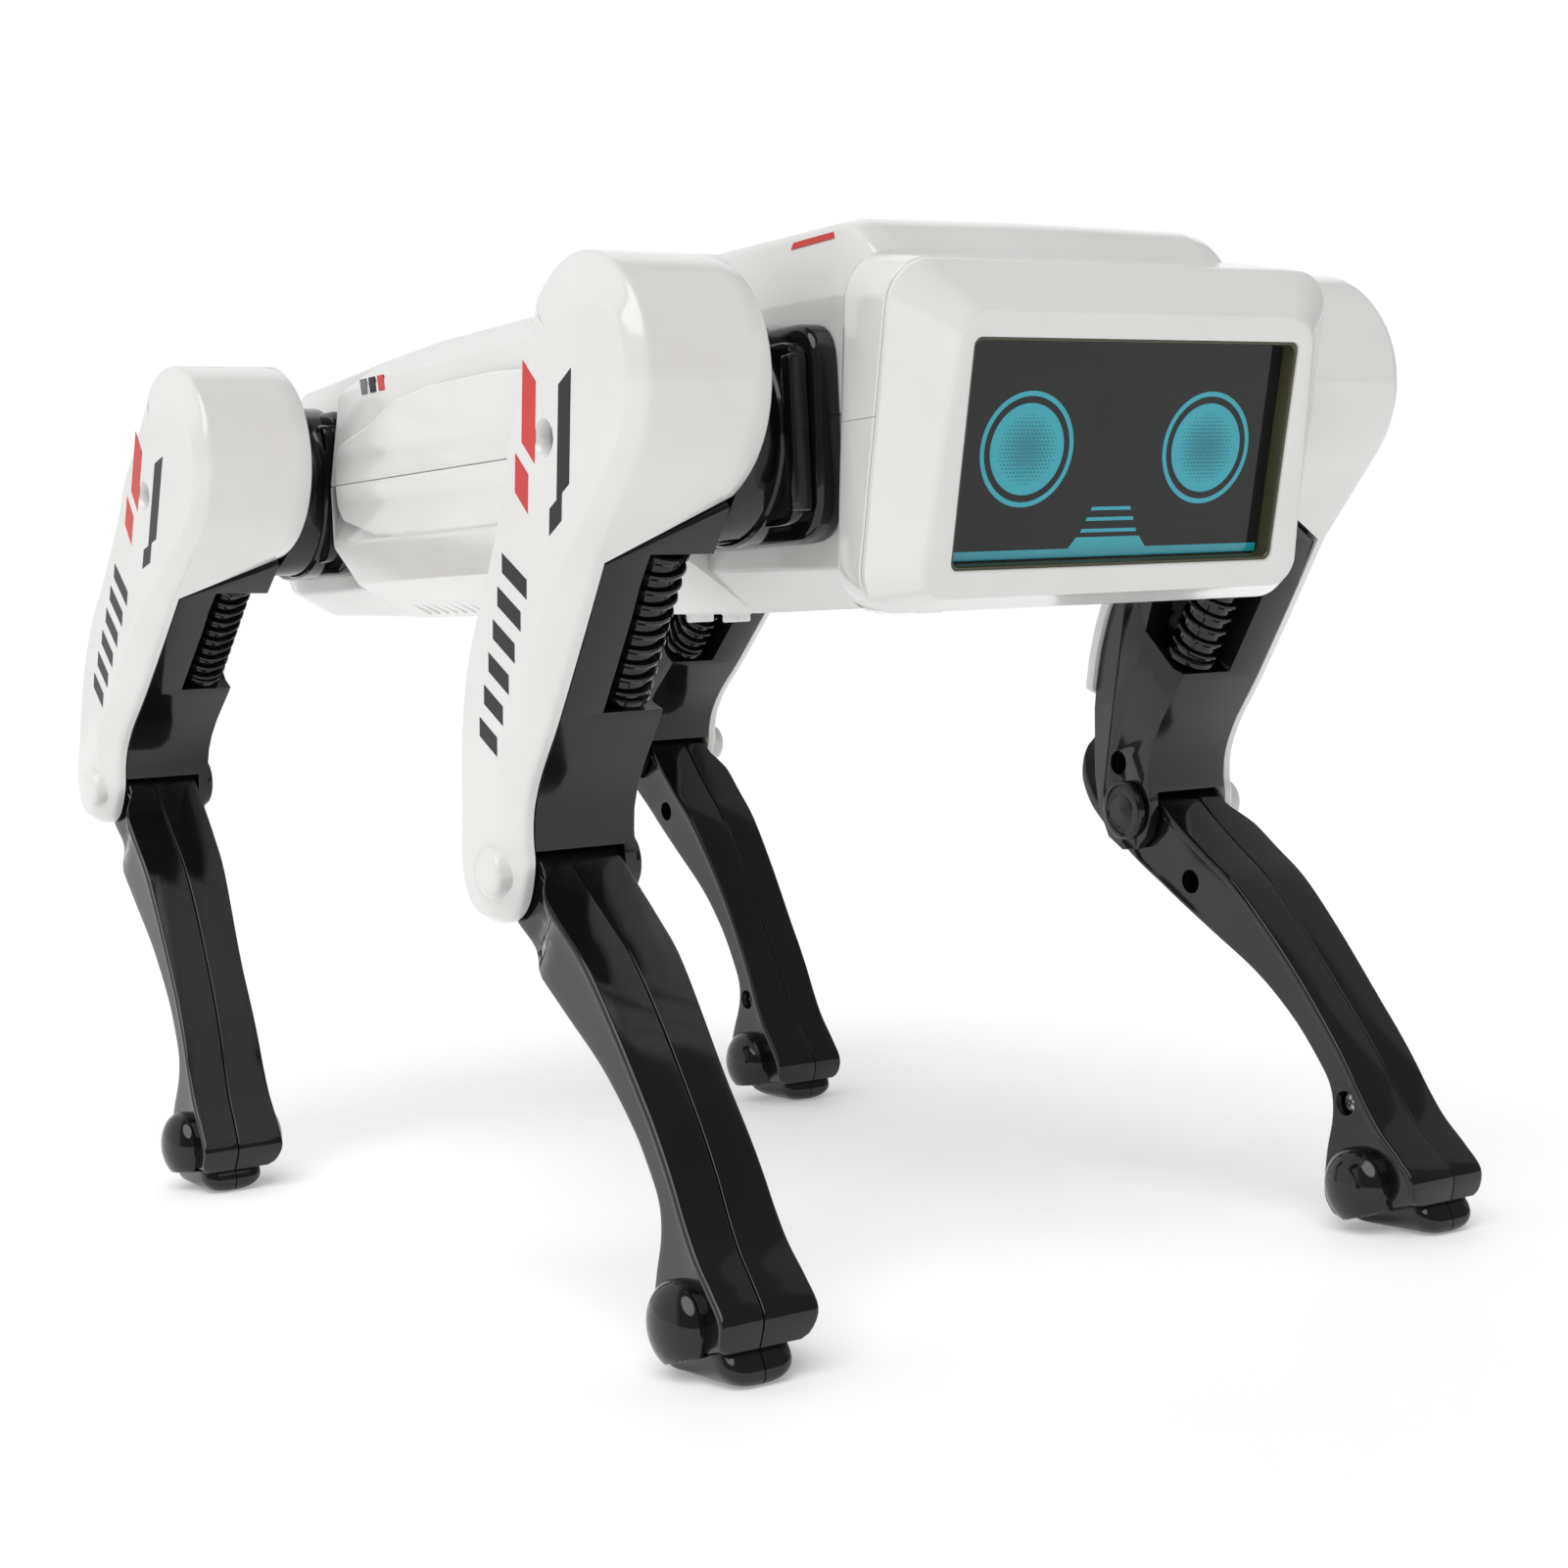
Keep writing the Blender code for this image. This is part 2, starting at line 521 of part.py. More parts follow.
def head_casing():
    """Two halves that meet on the parting line, with a closed back and an open front."""
    shape = loft([face_ring(*REAR_RING), face_ring(*shifted(SEAM_RING, -GAP))])
    hollow = loft([face_ring(*shifted(REAR_RING, WALL, WALL)), face_ring(*shifted(SEAM_RING, 6.0, WALL))])
    far = 400.0
    halves = (("head_upper_shell", (PARTING_Z, far)), ("head_lower_shell", (0.0, PARTING_Z - GAP)))
    for name, keep_z in halves:
        made = solid(name, [shape], WHITE)
        boolean(made, "DIFFERENCE", solid(f"{name}_hollow", [hollow]))
        kept = block((-far, -far, keep_z[0]), (far, far, keep_z[1]))
        boolean(made, "INTERSECT", solid(f"{name}_half", [kept]))


def head_front():
    rings = [face_ring(*SEAM_RING), face_ring(*shifted(SEAM_RING, 1.4)),
             face_ring(40.0, 43.0, 0.2, 49.8, 0.0, 0.0, 5.0)]
    bezel = solid("head_bezel", [loft(rings)], WHITE)
    inner = [face_ring(*shifted(SEAM_RING, -2.0, WALL + 0.2)),
             face_ring(40.0, 40.0, 1.6, 49.0, -4.6, -4.6, 4.0)]
    boolean(bezel, "DIFFERENCE", solid("bezel_hollow", [loft(inner)]))
    mouth = [face_ring(36.2, 36.2, 6.1, 45.1, depth, depth, 1.6, 2) for depth in (-12.0, 4.0)]
    boolean(bezel, "DIFFERENCE", solid("bezel_mouth", [loft(mouth)]))
    sheets = (("screen_window", TINTED, 35.9, 6.4, 44.8, -3.2, -1.4),
              ("face_panel", PRINT, 39.0, 3.4, 47.8, -6.2, -5.0),
              ("led_board", BOARD, 37.0, 5.0, 46.0, -9.6, -8.2))
    for name, finish, half, low, high, back, front in sheets:
        shape = loft([face_ring(half, half, low, high, depth, depth, 1.4, 2) for depth in (back, front)])
        solid(name, [shape], finish)


# ---------------------------------------------------------------- hips and assembly

def empty(name, place, lean, parent=None):
    made = bpy.data.objects.new(name, None)
    bpy.context.scene.collection.objects.link(made)
    made.location = Vector(place) * MM
    made.rotation_euler = (math.radians(lean), 0.0, 0.0)
    made.parent = parent
    return made


def hip_housing(name, side, y, z):
    """A black socket on the casing's side for the thigh; it reaches furthest away from the pod."""
    away = 1.0 if y > 0 else -1.0
    outline = []
    for quarter, (cy, cz) in enumerate(((18.0, 11.0), (-14.5, 11.0), (-11.0, -10.5), (15.5, -10.5))):
        radius = 7.5 if cz > 0 else 10.0
        outline += arc((cy, cz), radius, 90 * quarter, 90 * quarter + 90, 4)
    flange = loft([[(side * x, y + away * cy * k, z + cz * k) for cy, cz in outline]
                   for x, k in ((SHELL_SIDE_X + GAP, 1.0), (48.4, 1.0), (49.4, 0.96))])
    made = solid(name, [flange], BLACK)
    circle = arc((y, z), 20.0, 0, 345, 23)
    boss = loft([[(side * x, cy, cz) for cy, cz in circle] for x in (46.0, 60.8)])
    boolean(made, "UNION", solid(f"{name}_boss", [boss]))
    hole = arc((y, z), 4.2, 0, 337.5, 15)
    bore = loft([[(side * x, cy, cz) for cy, cz in hole] for x in (40.0, 64.0)])
    boolean(made, "DIFFERENCE", solid(f"{name}_bore", [bore]))


def hip_motor(name, side, y, z):
    low, high = sorted((side * 12.0, side * 41.4))
    made = solid(name, [block((low, y - 11, z - 11), (high, y + 11, z + 11))], MOTOR)
    hole = arc((y, z), 3.8, 0, 337.5, 15)
    bore = loft([[(side * x, cy, cz) for cy, cz in hole] for x in (33.0, 48.0)])
    boolean(made, "DIFFERENCE", solid(f"{name}_bore", [bore]))


def leg(corner, pair, side):
    y = -HIP_Y if pair == "front" else HIP_Y
    z = HIP_Z[pair]
    thigh, shin = THIGH_LEAN[pair], SHIN_LEAN[pair]
    hip = empty(f"hip_{corner}", (0.0, y, z), thigh)
    knee = empty(f"knee_{corner}", (0.0, 0.0, -THIGH_LENGTH), -thigh - shin, hip)
    knee_height = z - THIGH_LENGTH * math.cos(math.radians(thigh)) - FLOOR_Z
    hip_housing(f"hip_housing_{corner}", side, y, z)
    hip_motor(f"hip_motor_{corner}", side, y, z)
    hip_shaft(f"hip_shaft_{corner}", side, hip)
    hip_screw(f"hip_screw_{corner}", side, hip)
    thigh_cover(f"thigh_cover_{corner}", side, hip)
    thigh_frame(f"thigh_frame_{corner}", side, hip)
    shock_spring(f"shock_spring_{corner}", side, hip)
    knee_pin(f"knee_pin_{corner}", side, hip)
    shin_half(f"shin_outer_{corner}", side, knee, True)
    shin_half(f"shin_inner_{corner}", side, knee, False)
    sole(f"sole_{corner}", side, knee, knee_height, shin)


clear_scene()
upper_shell()
lower_shell()
battery_door()
inner_parts()
head_casing()
head_front()
for corner, pair, side in (("fr", "front", -1), ("fl", "front", 1), ("rr", "rear", -1), ("rl", "rear", 1)):
    leg(corner, pair, side)
for item in bpy.data.objects:
    if item.parent is None:
        item.location -= Vector((0.0, MIDDLE_Y, FLOOR_Z)) * MM
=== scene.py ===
"""Robot dog toy: the visible pieces, their materials, the floor, the lights and the camera."""

import json
from math import atan2, cos, degrees, hypot, pi, radians, sin, sqrt, tan

import bmesh
import bpy
from mathutils import Matrix, Vector


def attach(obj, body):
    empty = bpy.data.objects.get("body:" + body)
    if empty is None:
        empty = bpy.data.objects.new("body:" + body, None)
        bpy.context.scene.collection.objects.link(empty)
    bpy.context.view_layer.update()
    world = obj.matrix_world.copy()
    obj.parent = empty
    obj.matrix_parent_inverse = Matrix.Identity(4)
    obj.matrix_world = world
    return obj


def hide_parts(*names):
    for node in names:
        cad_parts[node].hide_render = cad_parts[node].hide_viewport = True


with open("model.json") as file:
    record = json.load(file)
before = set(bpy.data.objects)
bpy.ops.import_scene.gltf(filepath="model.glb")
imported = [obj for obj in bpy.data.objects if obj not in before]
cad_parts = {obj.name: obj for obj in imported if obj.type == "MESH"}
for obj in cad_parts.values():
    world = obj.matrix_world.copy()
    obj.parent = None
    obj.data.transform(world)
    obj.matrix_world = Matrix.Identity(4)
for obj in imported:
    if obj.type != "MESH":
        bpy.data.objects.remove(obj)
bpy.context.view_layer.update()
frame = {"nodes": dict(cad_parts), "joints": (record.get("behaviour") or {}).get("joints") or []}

MM = 0.001
CORNERS = (("fr", "front", -1), ("fl", "front", 1), ("rr", "rear", -1), ("rl", "rear", 1))
JOINTS = {joint["name"]: joint for joint in frame["joints"]}


def joint_at(name):
    return Vector(JOINTS[name]["pos_m"]) / MM


HIPS = {corner: joint_at(f"hip_joint_{corner}") for corner, _, _ in CORNERS}
KNEES = {corner: joint_at(f"knee_joint_{corner}") for corner, _, _ in CORNERS}
THIGH_LENGTH = 83.3
SHIN_LEAN = {"front": 36.4, "rear": 25.8}
FRONT_HIP_Z = 165.0
# The trunk and the head are drawn from a point halfway between the hips, FRONT_HIP_Z below the front ones.
ORIGIN = Vector((0.0, 0.5 * (HIPS["fr"].y + HIPS["rr"].y), HIPS["fr"].z - FRONT_HIP_Z))


# -------------------- materials

def shader_of(name):
    made = bpy.data.materials.new(name)
    made.use_nodes = True
    tree = made.node_tree
    return made, tree, tree.nodes["Principled BSDF"]


def noise(tree, scale, detail=3.0, stretch=None):
    """A noise over object space; stretch squeezes the pattern along an axis."""
    place = tree.nodes.new("ShaderNodeTexCoord").outputs["Object"]
    if stretch:
        mapping = tree.nodes.new("ShaderNodeMapping")
        mapping.inputs["Scale"].default_value = stretch
        tree.links.new(place, mapping.inputs["Vector"])
        place = mapping.outputs["Vector"]
    made = tree.nodes.new("ShaderNodeTexNoise")
    made.inputs["Scale"].default_value = scale
    made.inputs["Detail"].default_value = detail
    tree.links.new(place, made.inputs["Vector"])
    return made.outputs["Fac"]


def ramp(tree, fac, low, high, start=0.3, end=0.7):
    made = tree.nodes.new("ShaderNodeValToRGB")
    made.color_ramp.elements[0].position = start
    made.color_ramp.elements[1].position = end
    made.color_ramp.elements[0].color = (*low, 1.0)
    made.color_ramp.elements[1].color = (*high, 1.0)
    tree.links.new(fac, made.inputs["Fac"])
    return made.outputs["Color"]


def spread(tree, fac, low, high, start=0.3, end=0.7):
    made = tree.nodes.new("ShaderNodeMapRange")
    for socket, value in zip(("From Min", "From Max", "To Min", "To Max"), (start, end, low, high)):
        made.inputs[socket].default_value = value
    tree.links.new(fac, made.inputs["Value"])
    return made.outputs["Result"]


def bump(tree, shader, layers):
    """Chained bumps; each layer is (height, strength, distance in metres)."""
    before = None
    for height, strength, distance in layers:
        made = tree.nodes.new("ShaderNodeBump")
        made.inputs["Strength"].default_value = strength
        made.inputs["Distance"].default_value = distance
        tree.links.new(height, made.inputs["Height"])
        if before:
            tree.links.new(before, made.inputs["Normal"])
        before = made.outputs["Normal"]
    tree.links.new(before, shader.inputs["Normal"])


def moulded(name, low, high, rough, coat=0.0, waviness=0.2, grain=0.05, speck=None, shine=0.5):
    """Moulded plastic or print: slow colour drift, cloudy gloss, faint sink marks and a fine skin."""
    made, tree, shader = shader_of(name)
    colour = ramp(tree, noise(tree, 38.0), low, high)
    if speck:
        mix = tree.nodes.new("ShaderNodeMix")
        mix.data_type = "RGBA"
        tree.links.new(spread(tree, noise(tree, 1300.0, 2.0), 0.0, 1.0, 0.70, 0.76), mix.inputs["Factor"])
        tree.links.new(colour, mix.inputs["A"])
        mix.inputs["B"].default_value = (*speck, 1.0)
        colour = mix.outputs["Result"]
    tree.links.new(colour, shader.inputs["Base Color"])
    tree.links.new(spread(tree, noise(tree, 110.0, 4.0), rough[0], rough[1]), shader.inputs["Roughness"])
    sinks, skin = noise(tree, 55.0, 1.0), noise(tree, 2600.0, 2.0)
    bump(tree, shader, ((sinks, waviness, 0.0004), (skin, grain, 0.00004)))
    shader.inputs["Specular IOR Level"].default_value = shine
    if coat:
        shader.inputs["Coat Weight"].default_value = coat
        shader.inputs["Coat Roughness"].default_value = 0.05
    return made


def steel(name):
    made, tree, shader = shader_of(name)
    tint = ramp(tree, noise(tree, 900.0), (0.42, 0.42, 0.43), (0.62, 0.62, 0.62))
    tree.links.new(tint, shader.inputs["Base Color"])
    tree.links.new(spread(tree, noise(tree, 1800.0, 5.0), 0.24, 0.42), shader.inputs["Roughness"])
    bump(tree, shader, ((noise(tree, 1500.0, 4.0), 0.15, 0.00005),))
    shader.inputs["Metallic"].default_value = 1.0
    return made


WHITE = moulded("pearl_white_plastic", (0.80, 0.79, 0.775), (0.84, 0.835, 0.82), (0.11, 0.2), coat=0.35,
                waviness=0.10, grain=0.03)
BLACK = moulded("gloss_black_plastic", (0.004, 0.004, 0.0045), (0.007, 0.007, 0.0075), (0.06, 0.13),
                waviness=0.16, grain=0.03)
SCREEN = moulded("screen_black_print", (0.007, 0.0075, 0.008), (0.010, 0.011, 0.011), (0.06, 0.10),
                 waviness=0.03, grain=0.0, shine=0.4)
TEAL = moulded("teal_print", (0.014, 0.37, 0.46), (0.018, 0.41, 0.50), (0.10, 0.16),
               coat=0.4, waviness=0.02, grain=0.0)
TEAL_DARK = moulded("teal_dark_print", (0.009, 0.20, 0.25), (0.011, 0.23, 0.28), (0.10, 0.16),
                    coat=0.4, waviness=0.02, grain=0.0)
EDGE = moulded("window_edge_plastic", (0.05, 0.05, 0.025), (0.07, 0.068, 0.035), (0.2, 0.3))
RED = moulded("red_print", (0.60, 0.012, 0.010), (0.68, 0.018, 0.014), (0.2, 0.28),
              waviness=0.03, grain=0.02)
INK = moulded("black_print", (0.005, 0.005, 0.006), (0.008, 0.008, 0.009), (0.2, 0.28),
              waviness=0.03, grain=0.02, shine=0.25)
GREY = moulded("grey_print", (0.15, 0.15, 0.15), (0.19, 0.19, 0.19), (0.22, 0.3), waviness=0.03, grain=0.02)
BOARD = moulded("board_green_mask", (0.008, 0.09, 0.03), (0.014, 0.13, 0.05), (0.3, 0.45), grain=0.2,
                speck=(0.5, 0.45, 0.2))
CELL = moulded("battery_blue_wrap", (0.03, 0.07, 0.24), (0.05, 0.10, 0.32), (0.3, 0.42), waviness=0.6)
MOTOR = moulded("motor_grey_case", (0.20, 0.21, 0.23), (0.27, 0.28, 0.30), (0.35, 0.5), grain=0.2)
STEEL = steel("screw_bright_steel")


# -------------------- shapes

WELD = 0.002
NODE_WELD = 0.003
BEVEL_STEPS = 3
BEVEL_FROM_ANGLE = 25.0
FLAT_WITHIN_ANGLE = 1.0


def add_object(name, data):
    made = bpy.data.objects.new(name, data)
    bpy.context.scene.collection.objects.link(made)
    return made


def piece(name, shapes, material, sharp=32.0):
    """One object from (points, faces) shapes drawn in millimetres."""
    shaped = bmesh.new()
    for points, faces in shapes:
        corners = [shaped.verts.new(Vector(point) * MM) for point in points]
        for face in faces:
            shaped.faces.new([corners[index] for index in face])
    bmesh.ops.remove_doubles(shaped, verts=shaped.verts, dist=WELD * MM)
    bmesh.ops.dissolve_degenerate(shaped, edges=shaped.edges, dist=WELD * MM)
    bmesh.ops.recalc_face_normals(shaped, faces=shaped.faces)
    mesh = bpy.data.meshes.new(name)
    shaped.to_mesh(mesh)
    shaped.free()
    made = add_object(name, mesh)
    mesh.materials.append(material)
    smooth(made, sharp)
    return made


def smooth(made, sharp):
    made.data.shade_smooth()
    made.data.set_sharp_from_angle(angle=radians(sharp))


def bake(made):
    """Applies the modifiers of an object."""
    graph = bpy.context.evaluated_depsgraph_get()
    mesh = bpy.data.meshes.new_from_object(made.evaluated_get(graph))
    made.modifiers.clear()
    made.data = mesh


def boolean(target, operation, shape, sharp=32.0):
    """Joins a shape to a piece or cuts it out of the piece."""
    tool = piece("tool", [shape], target.data.materials[0])
    change = target.modifiers.new(operation, "BOOLEAN")
    change.operation = operation
    change.solver = "EXACT"
    change.object = tool
    bake(target)
    bpy.data.objects.remove(tool, do_unlink=True)
    smooth(target, sharp)


def softened(node, name, material, width):
    """A CAD node's shape with its hard edges rounded."""
    mesh = frame["nodes"][node].data.copy()
    shaped = bmesh.new()
    shaped.from_mesh(mesh)
    bmesh.ops.remove_doubles(shaped, verts=shaped.verts, dist=NODE_WELD * MM)
    bmesh.ops.dissolve_limit(shaped, angle_limit=radians(FLAT_WITHIN_ANGLE), verts=shaped.verts,
                             edges=shaped.edges)
    shaped.to_mesh(mesh)
    shaped.free()
    mesh.name = name
    mesh.materials.clear()
    mesh.materials.append(material)
    made = add_object(name, mesh)
    change = made.modifiers.new("round", "BEVEL")
    change.width = width * MM
    change.segments = BEVEL_STEPS
    change.limit_method = "ANGLE"
    change.angle_limit = radians(BEVEL_FROM_ANGLE)
    change.miter_outer = "MITER_ARC"
    bake(made)
    smooth(made, 38.0)
    return made


def settle(made, body, slot, *nodes):
    """Fixes a piece to its body and hides the CAD nodes that it stands for; slot is not used."""
    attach(made, body)
    if nodes:
        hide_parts(*nodes)


def eased(share):
    """A share clamped to 0 to 1 with a smooth start and end."""
    share = min(1.0, max(0.0, share))
    return share * share * (3 - 2 * share)


def turned_by(corners, centre, angle):
    """Points drawn about nought, turned by an angle in degrees and moved to a centre."""
    a = radians(angle)
    return [(centre[0] + p * cos(a) - q * sin(a), centre[1] + p * sin(a) + q * cos(a))
            for p, q in corners]


def from_origin(rings):
    """Rings drawn from the trunk's own point, moved to their place."""
    return [[tuple(Vector(point) + ORIGIN) for point in ring] for ring in rings]


def loft(rings, cap_start=True, cap_end=True, ring_closed=True, closed=False):
    """A surface through rings with the same number of points."""
    count = len(rings[0])
    points = [point for ring in rings for point in ring]
    faces = []
    if cap_start:
        faces.append(tuple(reversed(range(count))))
    if cap_end:
        faces.append(tuple(range(len(points) - count, len(points))))
    total = len(rings)
    for number in range(total if closed else total - 1):
        low, high = number * count, (number + 1) % total * count
        for index in range(count if ring_closed else count - 1):
            after = (index + 1) % count
            faces.append((low + index, low + after, high + after, high + index))
    return points, faces


def arc(centre, radius, start, end, steps):
    """Points of an arc, angles in degrees from +x towards +y."""
    angles = [radians(start + (end - start) * step / steps) for step in range(steps + 1)]
    return [(centre[0] + radius * cos(a), centre[1] + radius * sin(a)) for a in angles]


def circle(centre, radius, steps):
    return arc(centre, radius, 0.0, 360.0 - 360.0 / steps, steps - 1)


def curve_through(points, steps):
    """A smooth line through points, steps new points for each span; works on tuples of any length."""
    made = []
    last = len(points) - 1
    for index in range(last):
        before, a, b, after = (points[min(last, max(0, index + k))] for k in (-1, 0, 1, 2))
        for step in range(steps):
            t = step / steps
            made.append(tuple(0.5 * (2 * p1 + (p2 - p0) * t + (2 * p0 - 5 * p1 + 4 * p2 - p3) * t * t
                                     + (3 * p1 - p0 - 3 * p2 + p3) * t ** 3)
                              for p0, p1, p2, p3 in zip(before, a, b, after)))
    made.append(tuple(points[-1]))
    return made


def rounded(corners, radii, steps=4):
    """A polygon in 2-D with each corner turned into a curve of about that radius."""
    made = []
    count = len(corners)
    for index, corner in enumerate(corners):
        radius = radii[index] if isinstance(radii, (list, tuple)) else radii
        here = Vector(corner)
        before = Vector(corners[index - 1]) - here
        after = Vector(corners[(index + 1) % count]) - here
        turn = before.angle(after)
        reach = min(radius / tan(turn / 2), before.length * 0.49, after.length * 0.49)
        a, b = here + before.normalized() * reach, here + after.normalized() * reach
        for step in range(steps + 1):
            t = step / steps
            made.append(tuple(a * (1 - t) ** 2 + here * 2 * t * (1 - t) + b * t * t))
    return made


def inset(outline, widths):
    """The outline moved inwards by widths, one number for each point or one for all."""
    count = len(outline)
    widths = widths if isinstance(widths, list) else [widths] * count
    area = sum(outline[i - 1][0] * outline[i][1] - outline[i][0] * outline[i - 1][1] for i in range(count))
    turn = 1.0 if area > 0 else -1.0
    moved = []
    for i, width in enumerate(widths):
        here = Vector(outline[i])
        before = (here - Vector(outline[i - 1])).normalized()
        after = (Vector(outline[(i + 1) % count]) - here).normalized()
        along = (before + after).normalized()
        inward = Vector((-along.y, along.x)) * turn
        moved.append(tuple(here + inward * width / max(0.5, before.dot(along))))
    return moved


class Leg:
    """The two drawing frames of a leg: u runs down the thigh or the shin and v towards the front."""

    def __init__(self, corner, pair, side):
        self.corner, self.pair, self.side = corner, pair, side
        hip, knee = HIPS[corner], KNEES[corner]
        down = Vector((0.0, knee.y - hip.y, knee.z - hip.z)).normalized()
        self.thigh = (Vector((0.0, hip.y, hip.z)), down, Vector((0.0, down.z, -down.y)))
        lean = radians(SHIN_LEAN[pair])
        down = Vector((0.0, -sin(lean), -cos(lean)))
        self.shin = (Vector((0.0, knee.y, knee.z)), down, Vector((0.0, down.z, -down.y)))

    def at(self, part, x, u, v):
        start, down, front = part
        return tuple(start + down * u + front * v + Vector((self.side * x, 0.0, 0.0)))

    def ring(self, part, x, outline):
        return [self.at(part, x, u, v) for u, v in outline]

    def turned(self, part, centre, profile, steps=48):
        """A body turned about an axis along x, from (x, radius) pairs."""
        return loft([self.ring(part, x, circle(centre, max(radius, 0.01), steps)) for x, radius in profile])


# -------------------- thigh cover

COVER_FACE_X = 90.0
COVER_SEAM_X = 84.8
DRUM_RIM_X = 62.0
WALL = 2.2
DRUM_CENTRE = (-12.0, 6.0)
DRUM_RADIUS = 22.3
DRUM_STEPS = 36
DRUM_ARC = arc(DRUM_CENTRE, DRUM_RADIUS, 67, 245, DRUM_STEPS)
NOTCH = (17.7, 17.3)
TANGENT_STEPS = 7
TANGENT = [(NOTCH[0] - 20.99 * k / TANGENT_STEPS, NOTCH[1] + 9.23 * k / TANGENT_STEPS)
           for k in range(TANGENT_STEPS)]
THIGH_BACK = [(2, -14.2), (13.2, -14.6), (30.7, -17.2), (44, -20), (53, -20.6), (61.2, -20), (66, -19.2)]
COVER_TIP = [(70.3, -18), (78, -16), (86, -14.2), (91.4, -11), (94.3, -6.5), (94.4, -1.2), (91.6, 3.4),
             (86.8, 6.2), (80, 6.4)]
THIGH_FRONT = [(75, 4.5), (71, 3.6), (67, 3.7), (61.5, 4.8), (51.3, 8.2), (40, 11.4), (29.4, 14.3)]
# shares of a column's bevel width and of the way from the seam to the flat face
BEVEL_PROFILE = [(0.0, 0.12), (0.0, 0.24), (0.02, 0.33), (0.08, 0.42), (0.18, 0.51), (0.5, 0.74),
                 (0.8, 0.93), (0.9, 0.975), (0.98, 0.996), (1.06, 1.0)]


def cover_columns():
    """Columns round the cover from the notch over the drum, down the back, round the tip and up the front.

    Each is (u, v) at the seam, (u, v) at the rim, the bevel's width and the rim's x.
    """
    drum = [3.2 + 7.8 * max(0.0, sin(pi * (k / DRUM_STEPS * 15 - 6) / 12))
            for k in range(DRUM_STEPS + 1)]
    tip = [2.0] * 5 + [2.4, 3.0, 3.6, 4.6]
    front = [6.0, 6.6, 7.2, 8.0, 8.8, 8.6, 8.0]
    columns = []
    for k, (u, v) in enumerate(TANGENT):
        angle = radians(42.0 + 25.0 * k / TANGENT_STEPS)
        rim_u = DRUM_CENTRE[0] + DRUM_RADIUS * cos(angle)
        rim_v = DRUM_CENTRE[1] + DRUM_RADIUS * sin(angle)
        columns.append((u, v, rim_u, rim_v, 5.0 - 1.8 * k / TANGENT_STEPS, DRUM_RIM_X))
    columns += [(u, v, u, v, width, DRUM_RIM_X) for (u, v), width in zip(DRUM_ARC, drum)]
    rest = [(u, v, width) for (u, v), width in zip(THIGH_BACK + COVER_TIP + THIGH_FRONT + [NOTCH],
                                                   [2.2] * len(THIGH_BACK) + tip + front + [5.0])]
    for u, v, width in curve_through([(*DRUM_ARC[-1], drum[-1])] + rest, 5)[1:]:
        share = eased((u - 62.0) / 8.0) if v < 0 else 1.0
        columns.append((u, v, u, v, width, DRUM_RIM_X + (COVER_SEAM_X - DRUM_RIM_X) * share))
    return columns


def inset_open(line, widths):
    """inset() for the cover's line, whose two ends meet at the notch corner."""
    moved = inset(line[:-1], widths[:-1])
    return moved + moved[:1]


def between(first, second, share):
    return [tuple(Vector(a).lerp(Vector(b), share)) for a, b in zip(first, second)]


def thigh_cover(leg):
    """The white cover: a wall round the drum and the thigh, and a bevel up to the flat face."""
    columns = cover_columns()
    seam = [(u, v) for u, v, *_ in columns]
    ends = [(u, v) for _, _, u, v, *_ in columns]
    face = inset_open(seam, [width for *_, width, _ in columns])
    rims = [x for *_, x in columns]
    inner_seam, inner_end = inset_open(seam, [WALL] * len(seam)), inset_open(ends, [WALL] * len(ends))

    def ring(at_seam, at_end, share, out=0.0):
        """A ring at a share of the way from the rim (0) to the seam (1)."""
        made = []
        for a, b, rim in zip(at_seam, at_end, rims):
            span = COVER_SEAM_X - rim
            x = rim + span * share + (out if span > 1.0 else 0.0)
            down = (x - DRUM_RIM_X) / (COVER_SEAM_X - DRUM_RIM_X)
            made.append((x, b[0] + (a[0] - b[0]) * down, b[1] + (a[1] - b[1]) * down))
        return made

    rings = [ring(inner_seam, inner_end, 1.0), ring(inner_seam, inner_end, 0.5),
             ring(inner_seam, inner_end, 0.0, 0.5)]
    rings += [ring(between(seam, inner_seam, share), between(ends, inner_end, share), 0.0)
              for share in (0.75, 0.25)]
    rings += [ring(seam, ends, share) for share in (0.03, 0.2, 0.4, 0.6, 0.8, 0.93, 1.0)]
    at_seam = len(rings) - 1
    for width, height in BEVEL_PROFILE:
        x = COVER_SEAM_X + (COVER_FACE_X - COVER_SEAM_X) * height
        rings.append([(x, *Vector(a).lerp(Vector(b), width)) for a, b in zip(seam, face)])
    placed = [[leg.at(leg.thigh, *point) for point in one] for one in rings]
    points, faces = loft(placed, ring_closed=False)
    # the wall ends at the notch in one flat side; beyond the seam the rings close on themselves
    count = len(seam)
    faces.append(tuple(k * count for k in range(at_seam + 1)))
    for k in range(at_seam, len(placed) - 1):
        faces.append((k * count, (k + 1) * count, (k + 2) * count - 1, (k + 1) * count - 1))
    return piece(f"cover_{leg.corner}", [(points, faces)], WHITE, 40.0)


# -------------------- thigh

KNEE = (THIGH_LENGTH, 0.0)
SPRING_TOP, SPRING_END = Vector((16.8, 10.8)), Vector((47.7, 3.3))
SPRING_X = 69.4
SPRING_LENGTH = (SPRING_END - SPRING_TOP).length
SPRING_ALONG = (SPRING_END - SPRING_TOP).normalized()
SPRING_ACROSS = Vector((-SPRING_ALONG.y, SPRING_ALONG.x))
COIL_TURNS, COIL_RADIUS, WIRE_RADIUS = 9.6, 4.75, 0.62
TURN_STEPS, WIRE_SIDES, COLUMN_SIDES = 28, 8, 32
CORE_RADIUS = 4.25


